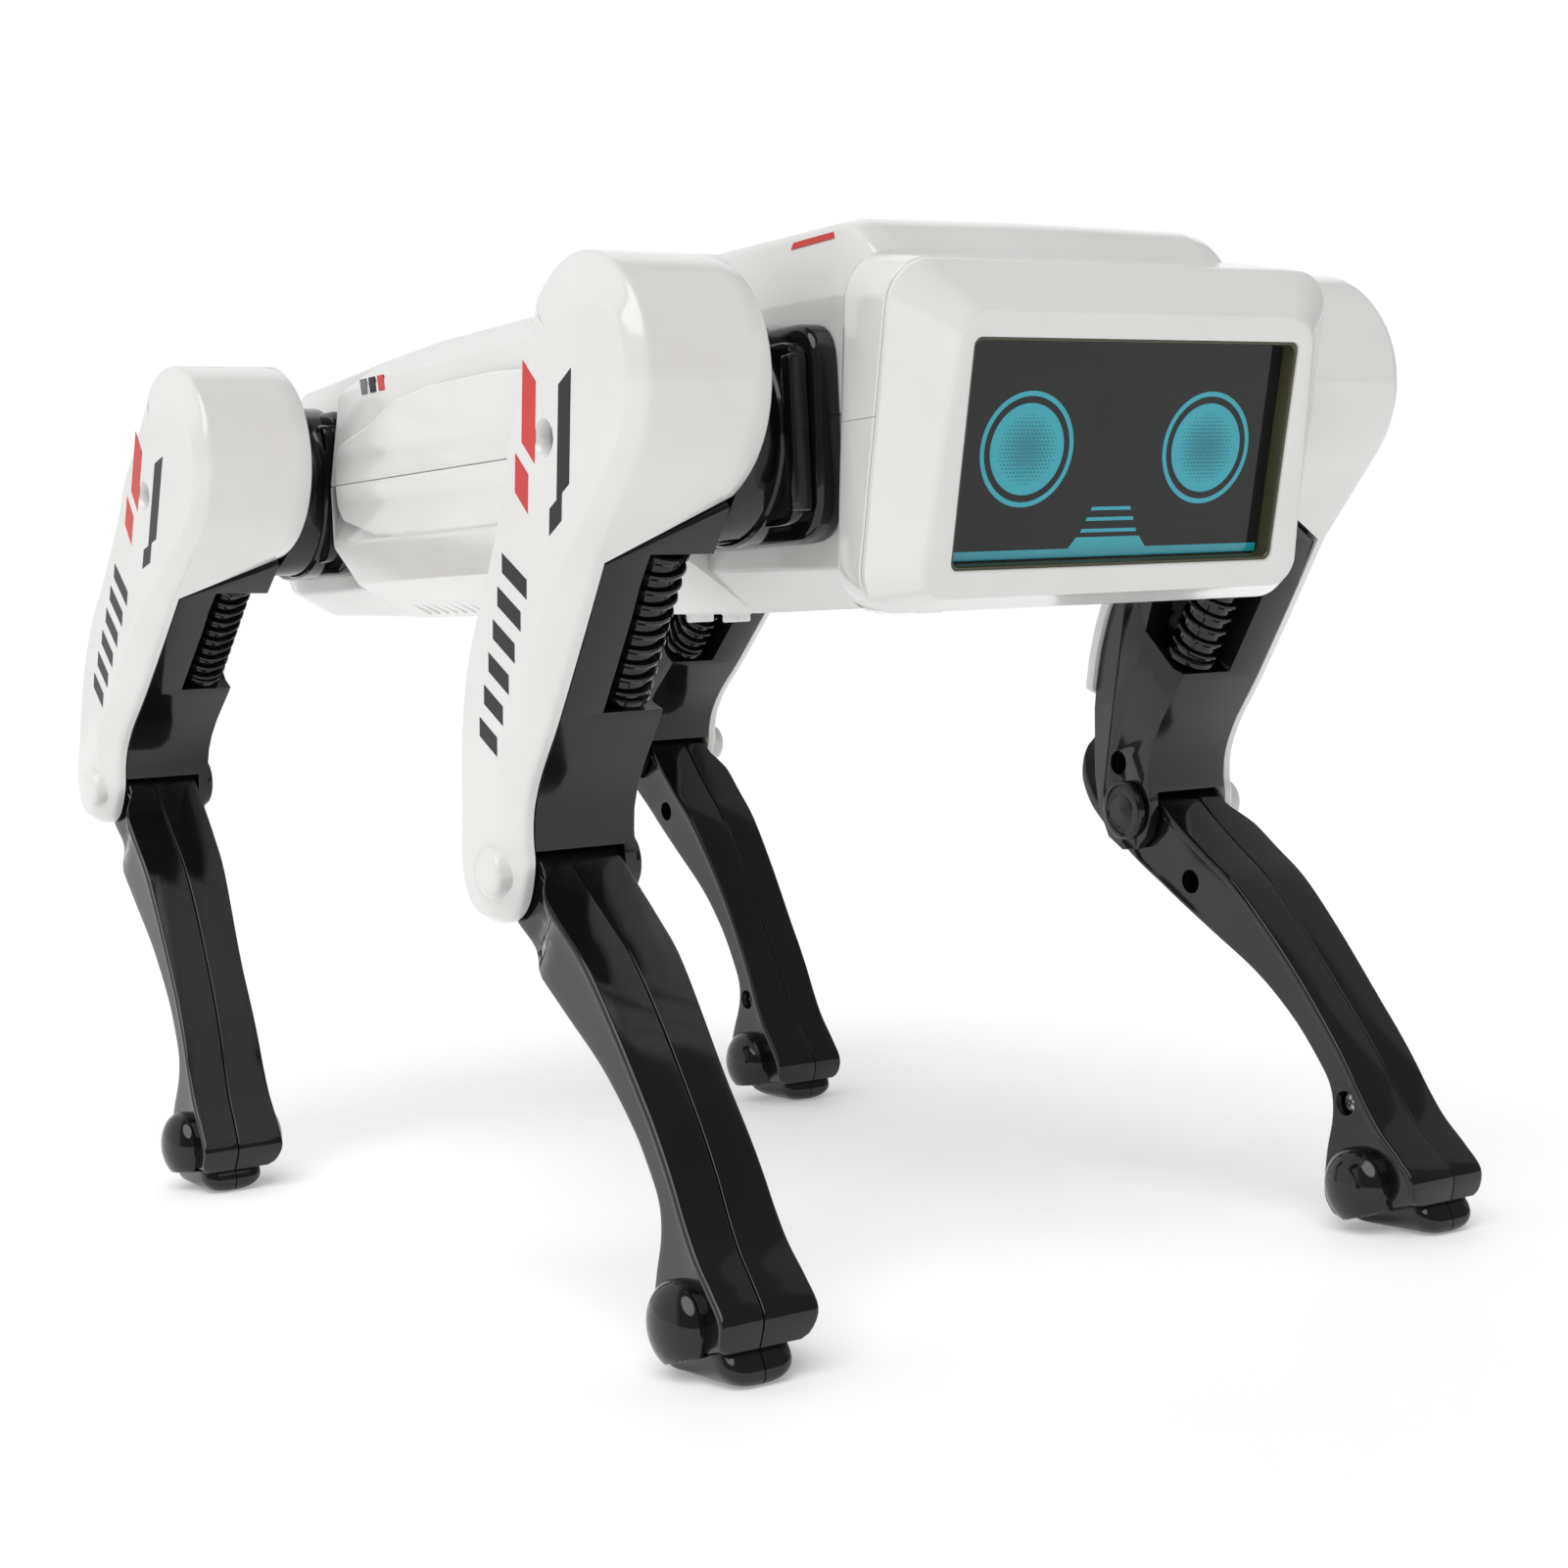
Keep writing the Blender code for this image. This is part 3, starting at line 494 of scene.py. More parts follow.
def finish_cover(leg, cover):
    """Adds the knee boss and the hip screw's hole."""
    dome = [(86.0, 0.0), (86.0, 4.9), (90.3, 4.9), (90.9, 4.85), (91.3, 4.65), (91.7, 4.2), (91.95, 3.6),
            (92.1, 2.9), (92.15, 2.0), (92.15, 0.0)]
    boolean(cover, "UNION", leg.turned(leg.thigh, KNEE, dome), 40.0)
    bore = [(83.0, 0.0), (83.0, 3.0), (88.9, 3.0), (89.3, 3.15), (91.0, 3.9), (91.0, 0.0)]
    boolean(cover, "DIFFERENCE", leg.turned(leg.thigh, (0, 0), bore), 40.0)


def coil(leg):
    """The wire of the spring, wound from just inside its top to just inside its end."""
    steps = int(COIL_TURNS * TURN_STEPS)
    rings = []
    for step in range(steps + 1):
        share = step / steps
        angle = 2 * pi * COIL_TURNS * share
        centre = SPRING_TOP.lerp(SPRING_END, 0.03 + 0.94 * share)
        ring = []
        for k in range(WIRE_SIDES):
            turn = 2 * pi * k / WIRE_SIDES
            reach = COIL_RADIUS + WIRE_RADIUS * cos(turn)
            aside = SPRING_ACROSS * reach * cos(angle)
            u, v = centre + aside + SPRING_ALONG * WIRE_RADIUS * sin(turn)
            ring.append(leg.at(leg.thigh, SPRING_X + reach * sin(angle), u, v))
        rings.append(ring)
    return loft(rings)


def column(leg, profile):
    """A column along the spring's axis from (distance along it, radius) pairs."""
    rings = []
    for reach, radius in profile:
        ring = []
        for k in range(COLUMN_SIDES):
            angle = 2 * pi * (k + 0.5) / COLUMN_SIDES
            u, v = SPRING_TOP + SPRING_ALONG * reach + SPRING_ACROSS * radius * cos(angle)
            ring.append(leg.at(leg.thigh, SPRING_X + radius * sin(angle), u, v))
        rings.append(ring)
    return loft(rings)


def spring(leg):
    """The moulded spring in the thigh's window: a coil round a core, with a seat at each end."""
    end = SPRING_LENGTH
    core = column(leg, [(0.0, CORE_RADIUS), (end, CORE_RADIUS)])
    seats = [column(leg, [(0.0, 5.0), (0.3, 5.3), (1.0, 5.3), (1.2, 5.1)]),
             column(leg, [(end - 1.6, 5.1), (end - 1.3, 5.3), (end - 0.4, 5.3), (end, 5.0)])]
    return piece(f"spring_{leg.corner}", [coil(leg), core] + seats, BLACK)


def pin(leg):
    """The knee pin: a black disc inside the leg and a shaft out to the cover."""
    profile = [(61.35, 0.0), (61.3, 3.4), (61.5, 3.7), (61.5, 4.1), (61.2, 4.4), (61.2, 5.4), (61.32, 5.8),
               (61.6, 6.15), (62.0, 6.3), (63.0, 6.3), (63.0, 2.4), (88.0, 2.4), (88.0, 0.0)]
    return piece(f"pin_{leg.corner}", [leg.turned(leg.thigh, KNEE, profile)], BLACK)


def screw(leg, name, part, centre, x, radius, out):
    """A pan-head screw with a cross in it; out is +1 or -1 along the side."""
    profile = [(x - out * 3.0, radius), (x - out * 0.5, radius), (x - out * 0.15, radius * 0.93),
               (x, radius * 0.75), (x + out * 0.05, 0.0)]
    head = piece(name, [leg.turned(part, centre, profile)], STEEL)
    long, thin = radius * 0.62, radius * 0.13
    corners = [(long, thin), (-long, thin), (-long, -thin), (long, -thin)]
    for angle in (25.0, 115.0):
        outline = turned_by(corners, centre, angle)
        boolean(head, "DIFFERENCE", loft([leg.ring(part, x + out * d, outline) for d in (-0.8, 0.8)]))
    return head


# -------------------- shin

# (u, v) on the back edge and on the front edge
SHIN_STATIONS = [
    ((-20.6, -5.2), (-20.6, -1.0)), ((-19.4, -8.6), (-19.0, 2.4)), ((-16.0, -11.8), (-14.4, 5.0)),
    ((-10, -12.9), (-8, 4.7)), ((-3.6, -11.8), (-3.2, 4.8)), ((-2, -11.3), (-1.5, 6.0)),
    ((5.3, -8.9), (2, 6.7)), ((12, -6.8), (9.8, 8.4)), ((19.5, -4.3), (19.5, 11.2)),
    ((32.6, 0.5), (29, 14.0)), ((45.5, 5.2), (42.4, 15.4)), ((58.2, 7.9), (57, 16.0)),
    ((68, 8.6), (68, 16.2)), ((74.7, 8.0), (75.5, 15.9)), ((79.7, 4.5), (82, 15.3)),
    ((84.5, -1.6), (88.5, 15.2)), ((90.5, -7.6), (95.5, 16.3)), ((94.6, -8.4), (101.5, 16.6)),
    ((97.0, -7.8), (105.1, 12.6)),
]
SHIN_GAP = 0.12
RIDGE_WIDTH = 1.7
RIDGE_HEIGHT = 0.9
TOE_EDGE_U = 101.05
TOE_TURN_OUTER, TOE_TURN_INNER = 1.4, 3.0
DOME = (94.8, 2.8)
DOME_RADIUS, DOME_RISE, DOME_SINK = 8.0, 5.0, 3.0
DOME_BASE_OUTER, DOME_BASE_INNER = 88.9, 70.1
SCREW_HOLES = ((20.7, 2.6), (79.6, 9.8))
SOLE_LOW_X, SOLE_HIGH_X, SOLE_BACK, SOLE_FRONT = 74.2, 88.8, -7.4, 11.4


def split_x(u):
    """The parting line between the two halves of a shin."""
    return 77.3 + 0.0005 * max(0.0, u - 10) ** 2


def inner_x(u):
    return 66.3 + 3.3 * eased((u - 8) / 55) + 0.015 * max(0.0, u - 63)


def outer_x(u, v):
    """The outer side widens just past the arc that the thigh cover's tip sweeps as the knee bends."""
    sweep = 8.2 + 0.055 * max(0.0, 45.0 - degrees(atan2(v, u)))
    flare = eased((hypot(u, v) - sweep) / (6.0 + 1.8 * (sweep - 8.2))) if u > 0 else 0.0
    return 84.0 + 3.4 * flare + 0.012 * max(0.0, u - 18) + 0.035 * max(0.0, u - 62)


def seat_u(v):
    """The foot's flat underside."""
    return 105.1 + (v - 12.6) * 0.393


def shin_ring(leg, outer, station):
    """A section of half a shin, whose flat side lies a little below the ridge on its front edge."""
    back_u, back_v, front_u, front_v = station
    length = hypot(front_u - back_u, front_v - back_v)
    middle = 0.5 * (back_u + front_u)
    turn = TOE_TURN_OUTER if outer else TOE_TURN_INNER
    near = min(turn, max(0.0, turn - (TOE_EDGE_U - middle)))
    less = turn - sqrt(turn * turn - near * near)
    ridge = min(RIDGE_WIDTH, 0.3 * length)
    step = RIDGE_HEIGHT * eased((middle - 4.0) / 14.0)

    def on_section(along):
        return back_u + (front_u - back_u) * along / length, back_v + (front_v - back_v) * along / length

    # distances along the section, with None at the parting face or how far below the side's crest it lies
    corners = [(length, None), (length, 0.0), (length - ridge, 0.0), (length - ridge - 0.3, step)]
    corners += [(length * share, step) for share in (0.6, 0.4, 0.2)] + [(0.0, step), (0.0, None)]
    outline = []
    for along, below in corners:
        u, v = on_section(along)
        crest = outer_x(u, v) if outer else inner_x(u)
        outline.append((along, SHIN_GAP if below is None else abs(crest - split_x(u)) - less - below))
    away = 1.0 if outer else -1.0
    ring = []
    for along, out in rounded(outline, [0.3, 0.8, 0.75, 0.22, 3.0, 3.0, 3.0, 1.0, 0.3]):
        u, v = on_section(along)
        ring.append(leg.at(leg.shin, split_x(u) + away * out, u, v))
    return ring


def shin_half(leg, outer):
    """Half a shin, with a dome at the foot and, on the inner half, two screw holes."""
    stations = curve_through([(*back, *front) for back, front in SHIN_STATIONS], 5)
    body = loft([shin_ring(leg, outer, station) for station in stations])
    made = piece(f"shin_{'out' if outer else 'in'}_{leg.corner}", [body], BLACK, 26.0)
    base, away = (DOME_BASE_OUTER, 1.0) if outer else (DOME_BASE_INNER, -1.0)
    rises = [radians(7.5 * k) for k in range(1, 13)]
    profile = [(-DOME_SINK, DOME_RADIUS), (0.0, DOME_RADIUS)]
    profile += [(DOME_RISE * sin(t), DOME_RADIUS * cos(t)) for t in rises]
    rings = []
    for rise, radius in profile:
        outline = [(min(u, seat_u(v)), v) for u, v in circle(DOME, max(radius, 0.01), 56)]
        rings.append(leg.ring(leg.shin, base + away * rise, outline))
    boolean(made, "UNION", loft(rings), 26.0)
    if not outer:
        hole = [(60.0, 0.0), (60.0, 3.4), (67.3, 3.0), (67.6, 2.55), (73.5, 2.5), (73.5, 0.0)]
        for place in SCREW_HOLES:
            boolean(made, "DIFFERENCE", leg.turned(leg.shin, place, hole), 26.0)
    return made


def pad(leg):
    """The sole: two cushion halves under the foot, rounded towards the floor and parted like the shin."""
    lean = radians(SHIN_LEAN[leg.pair])
    height = KNEES[leg.corner].z
    # shares of the way from the foot to the floor, and how much smaller the outline is there
    levels = ((-0.05, 0.0), (0.2, 0.0), (0.38, 0.15), (0.54, 0.5), (0.68, 1.05), (0.8, 1.7), (0.89, 2.4),
              (0.96, 3.2), (1.0, 4.2))
    halves = []
    for away in (1.0, -1.0):
        split = split_x(101.0) + away * SHIN_GAP
        rings = []
        for share, smaller in levels:
            low_x, high_x = SOLE_LOW_X + smaller, SOLE_HIGH_X - smaller
            back, front = SOLE_BACK + smaller, SOLE_FRONT - smaller
            corners = [(high_x, back), (high_x, front), (low_x, front), (low_x, back)]
            ring = []
            for x, v in rounded(corners, 3.4, 6):
                x = max(x, split) if away > 0 else min(x, split)
                seat, ground = seat_u(v), (height + v * sin(lean)) / cos(lean)
                ring.append(leg.at(leg.shin, x, seat + (ground - seat) * share, v))
            rings.append(ring)
        halves.append(loft(rings))
    return piece(f"pad_{leg.corner}", halves, BLACK, 30.0)


# -------------------- printed marks

def mark(name, leg, outlines, material):
    """Thin printed shapes on a thigh cover's flat face."""
    shapes = [loft([leg.ring(leg.thigh, COVER_FACE_X + rise, outline) for rise in (-0.05, 0.04, 0.06)])
              for outline in outlines]
    settle(piece(f"{name}_{leg.corner}", shapes, material), f"thigh_{leg.corner}", "face_print")


def bar(centre, length, width, turn, slant):
    """A four-sided bar in the thigh frame, slanted and turned."""
    corners = [(p * length + q * width * slant, q * width)
               for p, q in ((-0.5, -0.5), (0.5, -0.5), (0.5, 0.5), (-0.5, 0.5))]
    return turned_by(corners, centre, turn)


def marks(leg):
    """Red and black slanted bars at the hip and a row of short ones down the thigh."""
    red = [bar((-3.0, -6.4), 14.5, 5.0, 12, 0.7), bar((10.0, -6.0), 7.0, 5.0, 12, 0.7)]
    mark("mark_red", leg, red, RED)
    black = [bar((-2.6, 6.9), 20.0, 4.4, 12, -0.7), bar((11.8, 7.4), 4.8, 4.4, 12, -0.7)]
    black += [bar((27.0 + 6.4 * k, -4.8 - 0.55 * k), 3.6, 9.4 - 0.5 * k, 14, 0.45) for k in range(6)]
    mark("mark_ink", leg, black, INK)


# -------------------- hip housing

def housing(leg):
    """The black socket that the thigh turns against: a stepped flange, an upright rib and a round boss."""
    hip = HIPS[leg.corner]
    away = -1.0 if leg.pair == "front" else 1.0
    shapes = []

    def step(corners, radii, levels):
        """A block through (x, how much smaller) levels."""
        rings = []
        for x, shrink in levels:
            outline = inset(rounded(corners, radii, 6), shrink)
            rings.append([(leg.side * x, hip.y + away * a, hip.z + b) for a, b in outline])
        shapes.append(loft(rings))

    outer = [(25.5, 18.5), (-22.0, 18.5), (-22.0, -20.5), (25.5, -20.5)]
    turns = [7.5, 7.5, 10.0, 10.0]
    step(outer, turns, ((44.3, 0.0), (47.6, 0.0), (48.3, 0.15), (48.9, 0.6), (49.2, 1.2), (49.2, 2.6)))
    step(outer, turns, ((48.0, 3.2), (51.2, 3.2), (51.7, 3.4), (52.0, 3.9), (52.0, 5.0)))
    rib = [(23.6, 12.6), (20.8, 12.6), (20.8, -14.6), (23.6, -14.6)]
    step(rib, [1.2, 1.2, 1.2, 1.2], ((50.0, -0.5), (52.4, -0.3), (53.2, 0.0), (53.5, 0.5)))
    boss = [(47.0, 0.01), (47.0, 20.4), (52.6, 20.4), (53.2, 20.0), (53.2, 19.6), (60.2, 19.6), (60.6, 19.4),
            (60.8, 18.9), (60.8, 4.4), (50.0, 4.4)]
    rings = [[(leg.side * x, hip.y + a, hip.z + b) for a, b in circle((0, 0), radius, 64)]
             for x, radius in boss]
    shapes.append(loft(rings, cap_end=False))
    return piece(f"housing_{leg.corner}", shapes, BLACK)


def legs():
    for corner, pair, side in CORNERS:
        leg = Leg(corner, pair, side)
        thigh, shin = f"thigh_{corner}", f"shin_{corner}"
        cover = thigh_cover(leg)
        finish_cover(leg, cover)
        settle(cover, thigh, "shell_white", f"thigh_cover_{corner}")
        inner_frame = softened(f"thigh_frame_{corner}", f"frame_{corner}", BLACK, 0.45)
        settle(inner_frame, thigh, "frame_black", f"thigh_frame_{corner}")
        settle(spring(leg), thigh, "frame_black", f"shock_spring_{corner}")
        settle(pin(leg), thigh, "frame_black", f"knee_pin_{corner}")
        hip_screw = screw(leg, f"screw_{corner}", leg.thigh, (0.0, 0.0), 87.4, 2.7, 1.0)
        settle(hip_screw, thigh, "screw_steel", f"hip_screw_{corner}")
        for half in (True, False):
            settle(shin_half(leg, half), shin, "frame_black", f"shin_{'outer' if half else 'inner'}_{corner}")
        foot_screw = screw(leg, f"shin_screw_{corner}", leg.shin, SCREW_HOLES[1], 72.4, 2.1, -1.0)
        settle(foot_screw, shin, "screw_steel")
        settle(pad(leg), shin, "sole_rubber", f"sole_{corner}")
        settle(housing(leg), "trunk", "frame_black", f"hip_housing_{corner}")
        marks(leg)


# -------------------- head

LEAN = radians(14.4)
FACE_FOOT = Vector((0.0, -143.8, 133.1)) + ORIGIN
UP_FACE = Vector((0.0, -sin(LEAN), cos(LEAN)))
OUT_FACE = Vector((0.0, -cos(LEAN), -sin(LEAN)))


def on_face(x, height, depth=0.0):
    return tuple(Vector((x, 0, 0)) + FACE_FOOT + UP_FACE * height + OUT_FACE * depth)


def face_ring(top_half, foot_half, low, high, depth_low, depth_high, radius, steps=10):
    """A rounded four-sided ring on the leaning face; its depth may change from foot to top."""
    corners = [((foot_half - radius, low + radius), 270), ((top_half - radius, high - radius), 0),
               ((-top_half + radius, high - radius), 90), ((-foot_half + radius, low + radius), 180)]
    outline = [point for centre, start in corners for point in arc(centre, radius, start, start + 90, steps)]
    rise = (depth_high - depth_low) / (high - low)
    return [on_face(x, height, depth_low + rise * (height - low)) for x, height in outline]


# half widths at the top and the foot, low and high, depths at the foot and the top, corner radius
SEAM_RING = (50.0, 50.0, -3.9, 57.6, -8.8, -9.6, 8.0)
REAR_RING = (49.2, 49.2, -5.6, 57.2, -17.6, -25.6, 9.0)
FRONT_RING = (40.0, 43.0, 0.2, 49.8, 0.0, 0.0, 5.0)
MOUTH_HALF, MOUTH_LOW, MOUTH_HIGH, MOUTH_RADIUS = 37.2, 5.0, 45.5, 1.6
CASING_SEAM = 164.9
CASING_GAP = 0.05
FAR = 200.0


def shifted(ring, depth, smaller=0.0):
    """A ring moved outwards from the face by depth and made smaller all round."""
    top_half, foot_half, low, high, depth_low, depth_high, radius = ring
    return (top_half - smaller, foot_half - smaller, low + smaller, high - smaller, depth_low + depth,
            depth_high + depth, max(1.5, radius - smaller))


def mixed(first, second, share):
    return tuple(a + (b - a) * share for a, b in zip(first, second))


def mouth_ring(smaller, depth, radius):
    """The screen's opening, made smaller all round, at a depth."""
    half = MOUTH_HALF - smaller
    return half, half, MOUTH_LOW + smaller, MOUTH_HIGH - smaller, depth, depth, radius


def bezel():
    """The front frame: its side, its bevelled front and the mouth round the screen."""
    side_end = shifted(SEAM_RING, 1.2)
    rings = [shifted(SEAM_RING, 0.0, 0.25), shifted(SEAM_RING, 0.25), side_end]
    rings += [mixed(side_end, FRONT_RING, share) for share in (0.06, 0.5, 0.9)]
    rings += [mixed(side_end, FRONT_RING, 0.97)[:4] + (-0.12, -0.12, 5.2), shifted(FRONT_RING, 0.0, 0.5)]
    for grow, depth in ((0.5, 0.0), (0.2, -0.08), (0.04, -0.25), (0.0, -0.6), (0.0, -5.6)):
        rings.append(mouth_ring(-grow, depth, MOUTH_RADIUS + grow))
    rings.append((46.0, 46.0, 0.0, 52.0, -7.6, -7.6, 6.0))
    shape = loft([face_ring(*ring) for ring in rings], cap_start=False, cap_end=False, closed=True)
    settle(piece("bezel", [shape], WHITE, 40.0), "trunk", "shell_white", "head_bezel")


def casing():
    """Two halves that meet on the parting line, each a closed body with rounded edges."""
    rings = [shifted(REAR_RING, 0.0, 3.5), shifted(REAR_RING, 0.25, 1.6), shifted(REAR_RING, 0.9, 0.5),
             shifted(REAR_RING, 2.2, 0.0), shifted(SEAM_RING, -0.55), shifted(SEAM_RING, -0.3, 0.25)]
    shape = loft([face_ring(*ring) for ring in rings])
    corners = [(-FAR, -FAR), (FAR, -FAR), (FAR, FAR), (-FAR, FAR)]
    for name, node, keep in (("casing_top", "head_upper_shell", 1), ("casing_foot", "head_lower_shell", -1)):
        made = piece(name, [shape], WHITE, 40.0)
        edge = CASING_SEAM + keep * CASING_GAP + ORIGIN.z
        cut = sorted((edge, edge - keep * FAR))
        boolean(made, "DIFFERENCE", loft([[(x, y, level) for x, y in corners] for level in cut]), 40.0)
        settle(made, "trunk", "shell_white", node)


PANEL_DEPTH = -3.7
PANEL_THICK = 1.4
PANEL_HIDDEN = 0.6
PRINT_SINK, PRINT_RISE = 0.05, 0.06
EYE_X, EYE_HEIGHT = 20.7, 25.6
EYE_STEPS, DOT_STEPS = 72, 6
RING_INNER, RING_OUTER, DISC_RADIUS = 9.4, 10.3, 8.15
DOT_ACROSS, DOT_UP, DOT_ROWS, DOT_REACH, DOT_RISE = 0.78, 0.68, 9, 6.3, 0.08


def plate(outline, depth=0.0):
    """A thin printed shape lying on the panel, from (across, up) points."""
    levels = (PANEL_DEPTH + depth - PRINT_SINK, PANEL_DEPTH + depth + PRINT_RISE)
    return loft([[on_face(x, h, level) for x, h in outline] for level in levels])


def band(x, h, inner, outer):
    """A flat printed ring on the panel."""
    levels = ((inner, -PRINT_SINK), (inner, PRINT_RISE), (outer, PRINT_RISE), (outer, -PRINT_SINK))
    rings = [[on_face(a, b, PANEL_DEPTH + d) for a, b in circle((x, h), radius, EYE_STEPS)]
             for radius, d in levels]
    return loft(rings, cap_start=False, cap_end=False, closed=True)


def eye_dots(x):
    """The halftone in the middle of an eye: dots that grow towards its centre."""
    dots = []
    for row in range(-DOT_ROWS, DOT_ROWS + 1):
        for col in range(-DOT_ROWS, DOT_ROWS + 1):
            a, b = x + (col + 0.5 * (row % 2)) * DOT_ACROSS, EYE_HEIGHT + row * DOT_UP
            reach = hypot(a - x, b - EYE_HEIGHT)
            if reach < DOT_REACH:
                radius = 0.31 * (1.0 - (reach / 6.9) ** 2) + 0.05
                dots.append(plate(circle((a, b), radius, DOT_STEPS), DOT_RISE))
    return dots


def face_lines():
    """Three short lines and the band with its raised middle at the foot of the screen."""
    lines = []
    for half, height in ((4.4, 14.45), (5.3, 12.55), (6.25, 10.45)):
        top = height + 0.65
        lines.append(plate([(-half - 0.3, height), (half + 0.3, height), (half, top), (-half, top)]))
    right = [(36.0, 6.0), (36.0, 7.6), (9.0, 7.6), (7.3, 9.6)]
    lines.append(plate([(-36.0, 6.0)] + right + [(-x, h) for x, h in right[:0:-1]]))
    return lines


def screen():
    """The dark panel with its printed face, and the lining round the window."""
    panel = [face_ring(*mouth_ring(-PANEL_HIDDEN, depth, MOUTH_RADIUS))
             for depth in (PANEL_DEPTH - PANEL_THICK, PANEL_DEPTH)]
    settle(piece("panel", [loft(panel)], SCREEN), "trunk", "window_tint", "screen_window", "face_panel")
    levels = ((-0.15, -5.2), (-0.03, -0.75), (0.1, -0.55), (0.5, -0.6), (0.62, -0.8), (0.62, -5.2))
    rings = [face_ring(*mouth_ring(smaller, depth, MOUTH_RADIUS - 0.3 * smaller))
             for smaller, depth in levels]
    rim = loft(rings, cap_start=False, cap_end=False, closed=True)
    settle(piece("window_rim", [rim], EDGE), "trunk", "window_tint")
    sides = (-EYE_X, EYE_X)
    eyes = [band(x, EYE_HEIGHT, RING_INNER, RING_OUTER) for x in sides]
    eyes += [plate(circle((x, EYE_HEIGHT), DISC_RADIUS, EYE_STEPS)) for x in sides]
    settle(piece("face_rings", eyes + face_lines(), TEAL), "trunk", "face_print")
    settle(piece("face_dots", eye_dots(-EYE_X) + eye_dots(EYE_X), TEAL_DARK), "trunk", "face_print")


# -------------------- trunk

PARTING_Z = 167.0
PARTING_GAP = 0.03
POD_END_Y = 75.2
POD_OUT = 10.0
POD_SIDE_X = 54.0
FRONT_Y = -120.5
POD_SLOPE, HOOD_SLOPE = 0.147, 0.215
# y, shoulder (x, z), deck edge (x, z), deck middle z of the narrow casing; the pods stand out from it
UPPER_TABLE = [
    (-134.0, 43.6, 186.8, 40.6, 193.6, 194.6), (-129.0, 43.8, 187.4, 41.0, 198.0, 199.2),
    (-125.0, 44.0, 187.8, 41.2, 200.3, 201.6), (-121.0, 44.0, 188.0, 41.2, 201.0, 202.4),
    (-24.0, 44.0, 188.6, 41.0, 200.6, 202.4), (-19.0, 44.0, 188.5, 40.8, 199.9, 201.5),
    (-13.0, 44.0, 188.2, 40.4, 198.4, 199.8), (-8.0, 44.0, 188.0, 40.2, 197.8, 199.2),
    (40.0, 44.0, 186.0, 39.8, 197.4, 198.8), (73.0, 44.0, 184.4, 39.4, 195.8, 197.2),
    (120.0, 44.0, 182.4, 38.2, 192.9, 194.2), (130.0, 42.4, 181.2, 36.4, 191.0, 192.2),
    (136.0, 38.6, 179.0, 32.4, 187.8, 189.0), (139.6, 33.8, 176.0, 27.6, 184.0, 185.2),
    (141.4, 29.0, 173.4, 22.0, 180.4, 181.4), (142.4, 22.0, 170.6, 14.0, 176.0, 176.8),
]
# y, side x, side foot z, flank top (x, z), flank foot (x, z)
LOWER_TABLE = [
    (-134.0, 43.8, 150.0, 41.8, 139.2, 30.4, 132.4), (-75.0, 44.0, 150.0, 43.0, 141.0, 33.0, 132.6),
    (75.0, 44.0, 151.0, 43.0, 143.0, 33.0, 136.0), (120.0, 44.0, 151.0, 42.2, 143.0, 33.2, 137.6),
    (130.0, 42.4, 151.6, 40.0, 144.0, 31.6, 138.8), (136.0, 38.6, 152.4, 36.0, 145.4, 28.4, 140.9),
    (139.6, 33.8, 154.0, 31.4, 148.6, 24.6, 143.6), (141.4, 29.0, 156.4, 26.4, 152.0, 20.0, 147.4),
    (142.4, 22.0, 160.0, 19.0, 156.4, 13.0, 152.0),
]
POD_UPPER = ((-75.0, 50.5, 192.4), (-24.0, 50.5, 192.2), (40.0, 50.5, 190.8), (75.0, 50.5, 188.6))
POD_LOWER = ((-75.0, 153.0, 48.0, 143.4, 33.0, 132.8), (75.0, 153.0, 48.0, 144.2, 33.0, 135.8))
PANEL_TOP = [(-13, 185.5), (18, 185.4), (35, 184), (49.4, 179.4), (64.7, 176.4), (68.3, 174.6), (68.8, 169)]
PANEL_FOOT = [(68.4, 162), (65.5, 158.6), (49, 154.6), (36, 153.9)]
PANEL_OUTLINE = PANEL_TOP + PANEL_FOOT + [(-y, z) for y, z in PANEL_FOOT[::-1] + PANEL_TOP[:1:-1]]
RIB_COUNT, RIB_STEP, RIB_FROM = 30, 4.6, -66.0


def at_y(table, y):
    """A row of a table at y, straight between its rows."""
    for low, high in zip(table, table[1:]):
        if y <= high[0]:
            break
    share = min(1.0, max(0.0, (y - low[0]) / (high[0] - low[0])))
    return [a + (b - a) * share for a, b in zip(low[1:], high[1:])]


def pod_share(y, radius=3.0):
    """How much of a pod's width there is at y: none past its ends, and a rounded corner at each."""
    inside = POD_END_Y - abs(y)
    if inside < 0.0:
        return 0.0
    short = radius - min(inside, radius)
    return (POD_OUT - radius + sqrt(radius * radius - short * short)) / POD_OUT


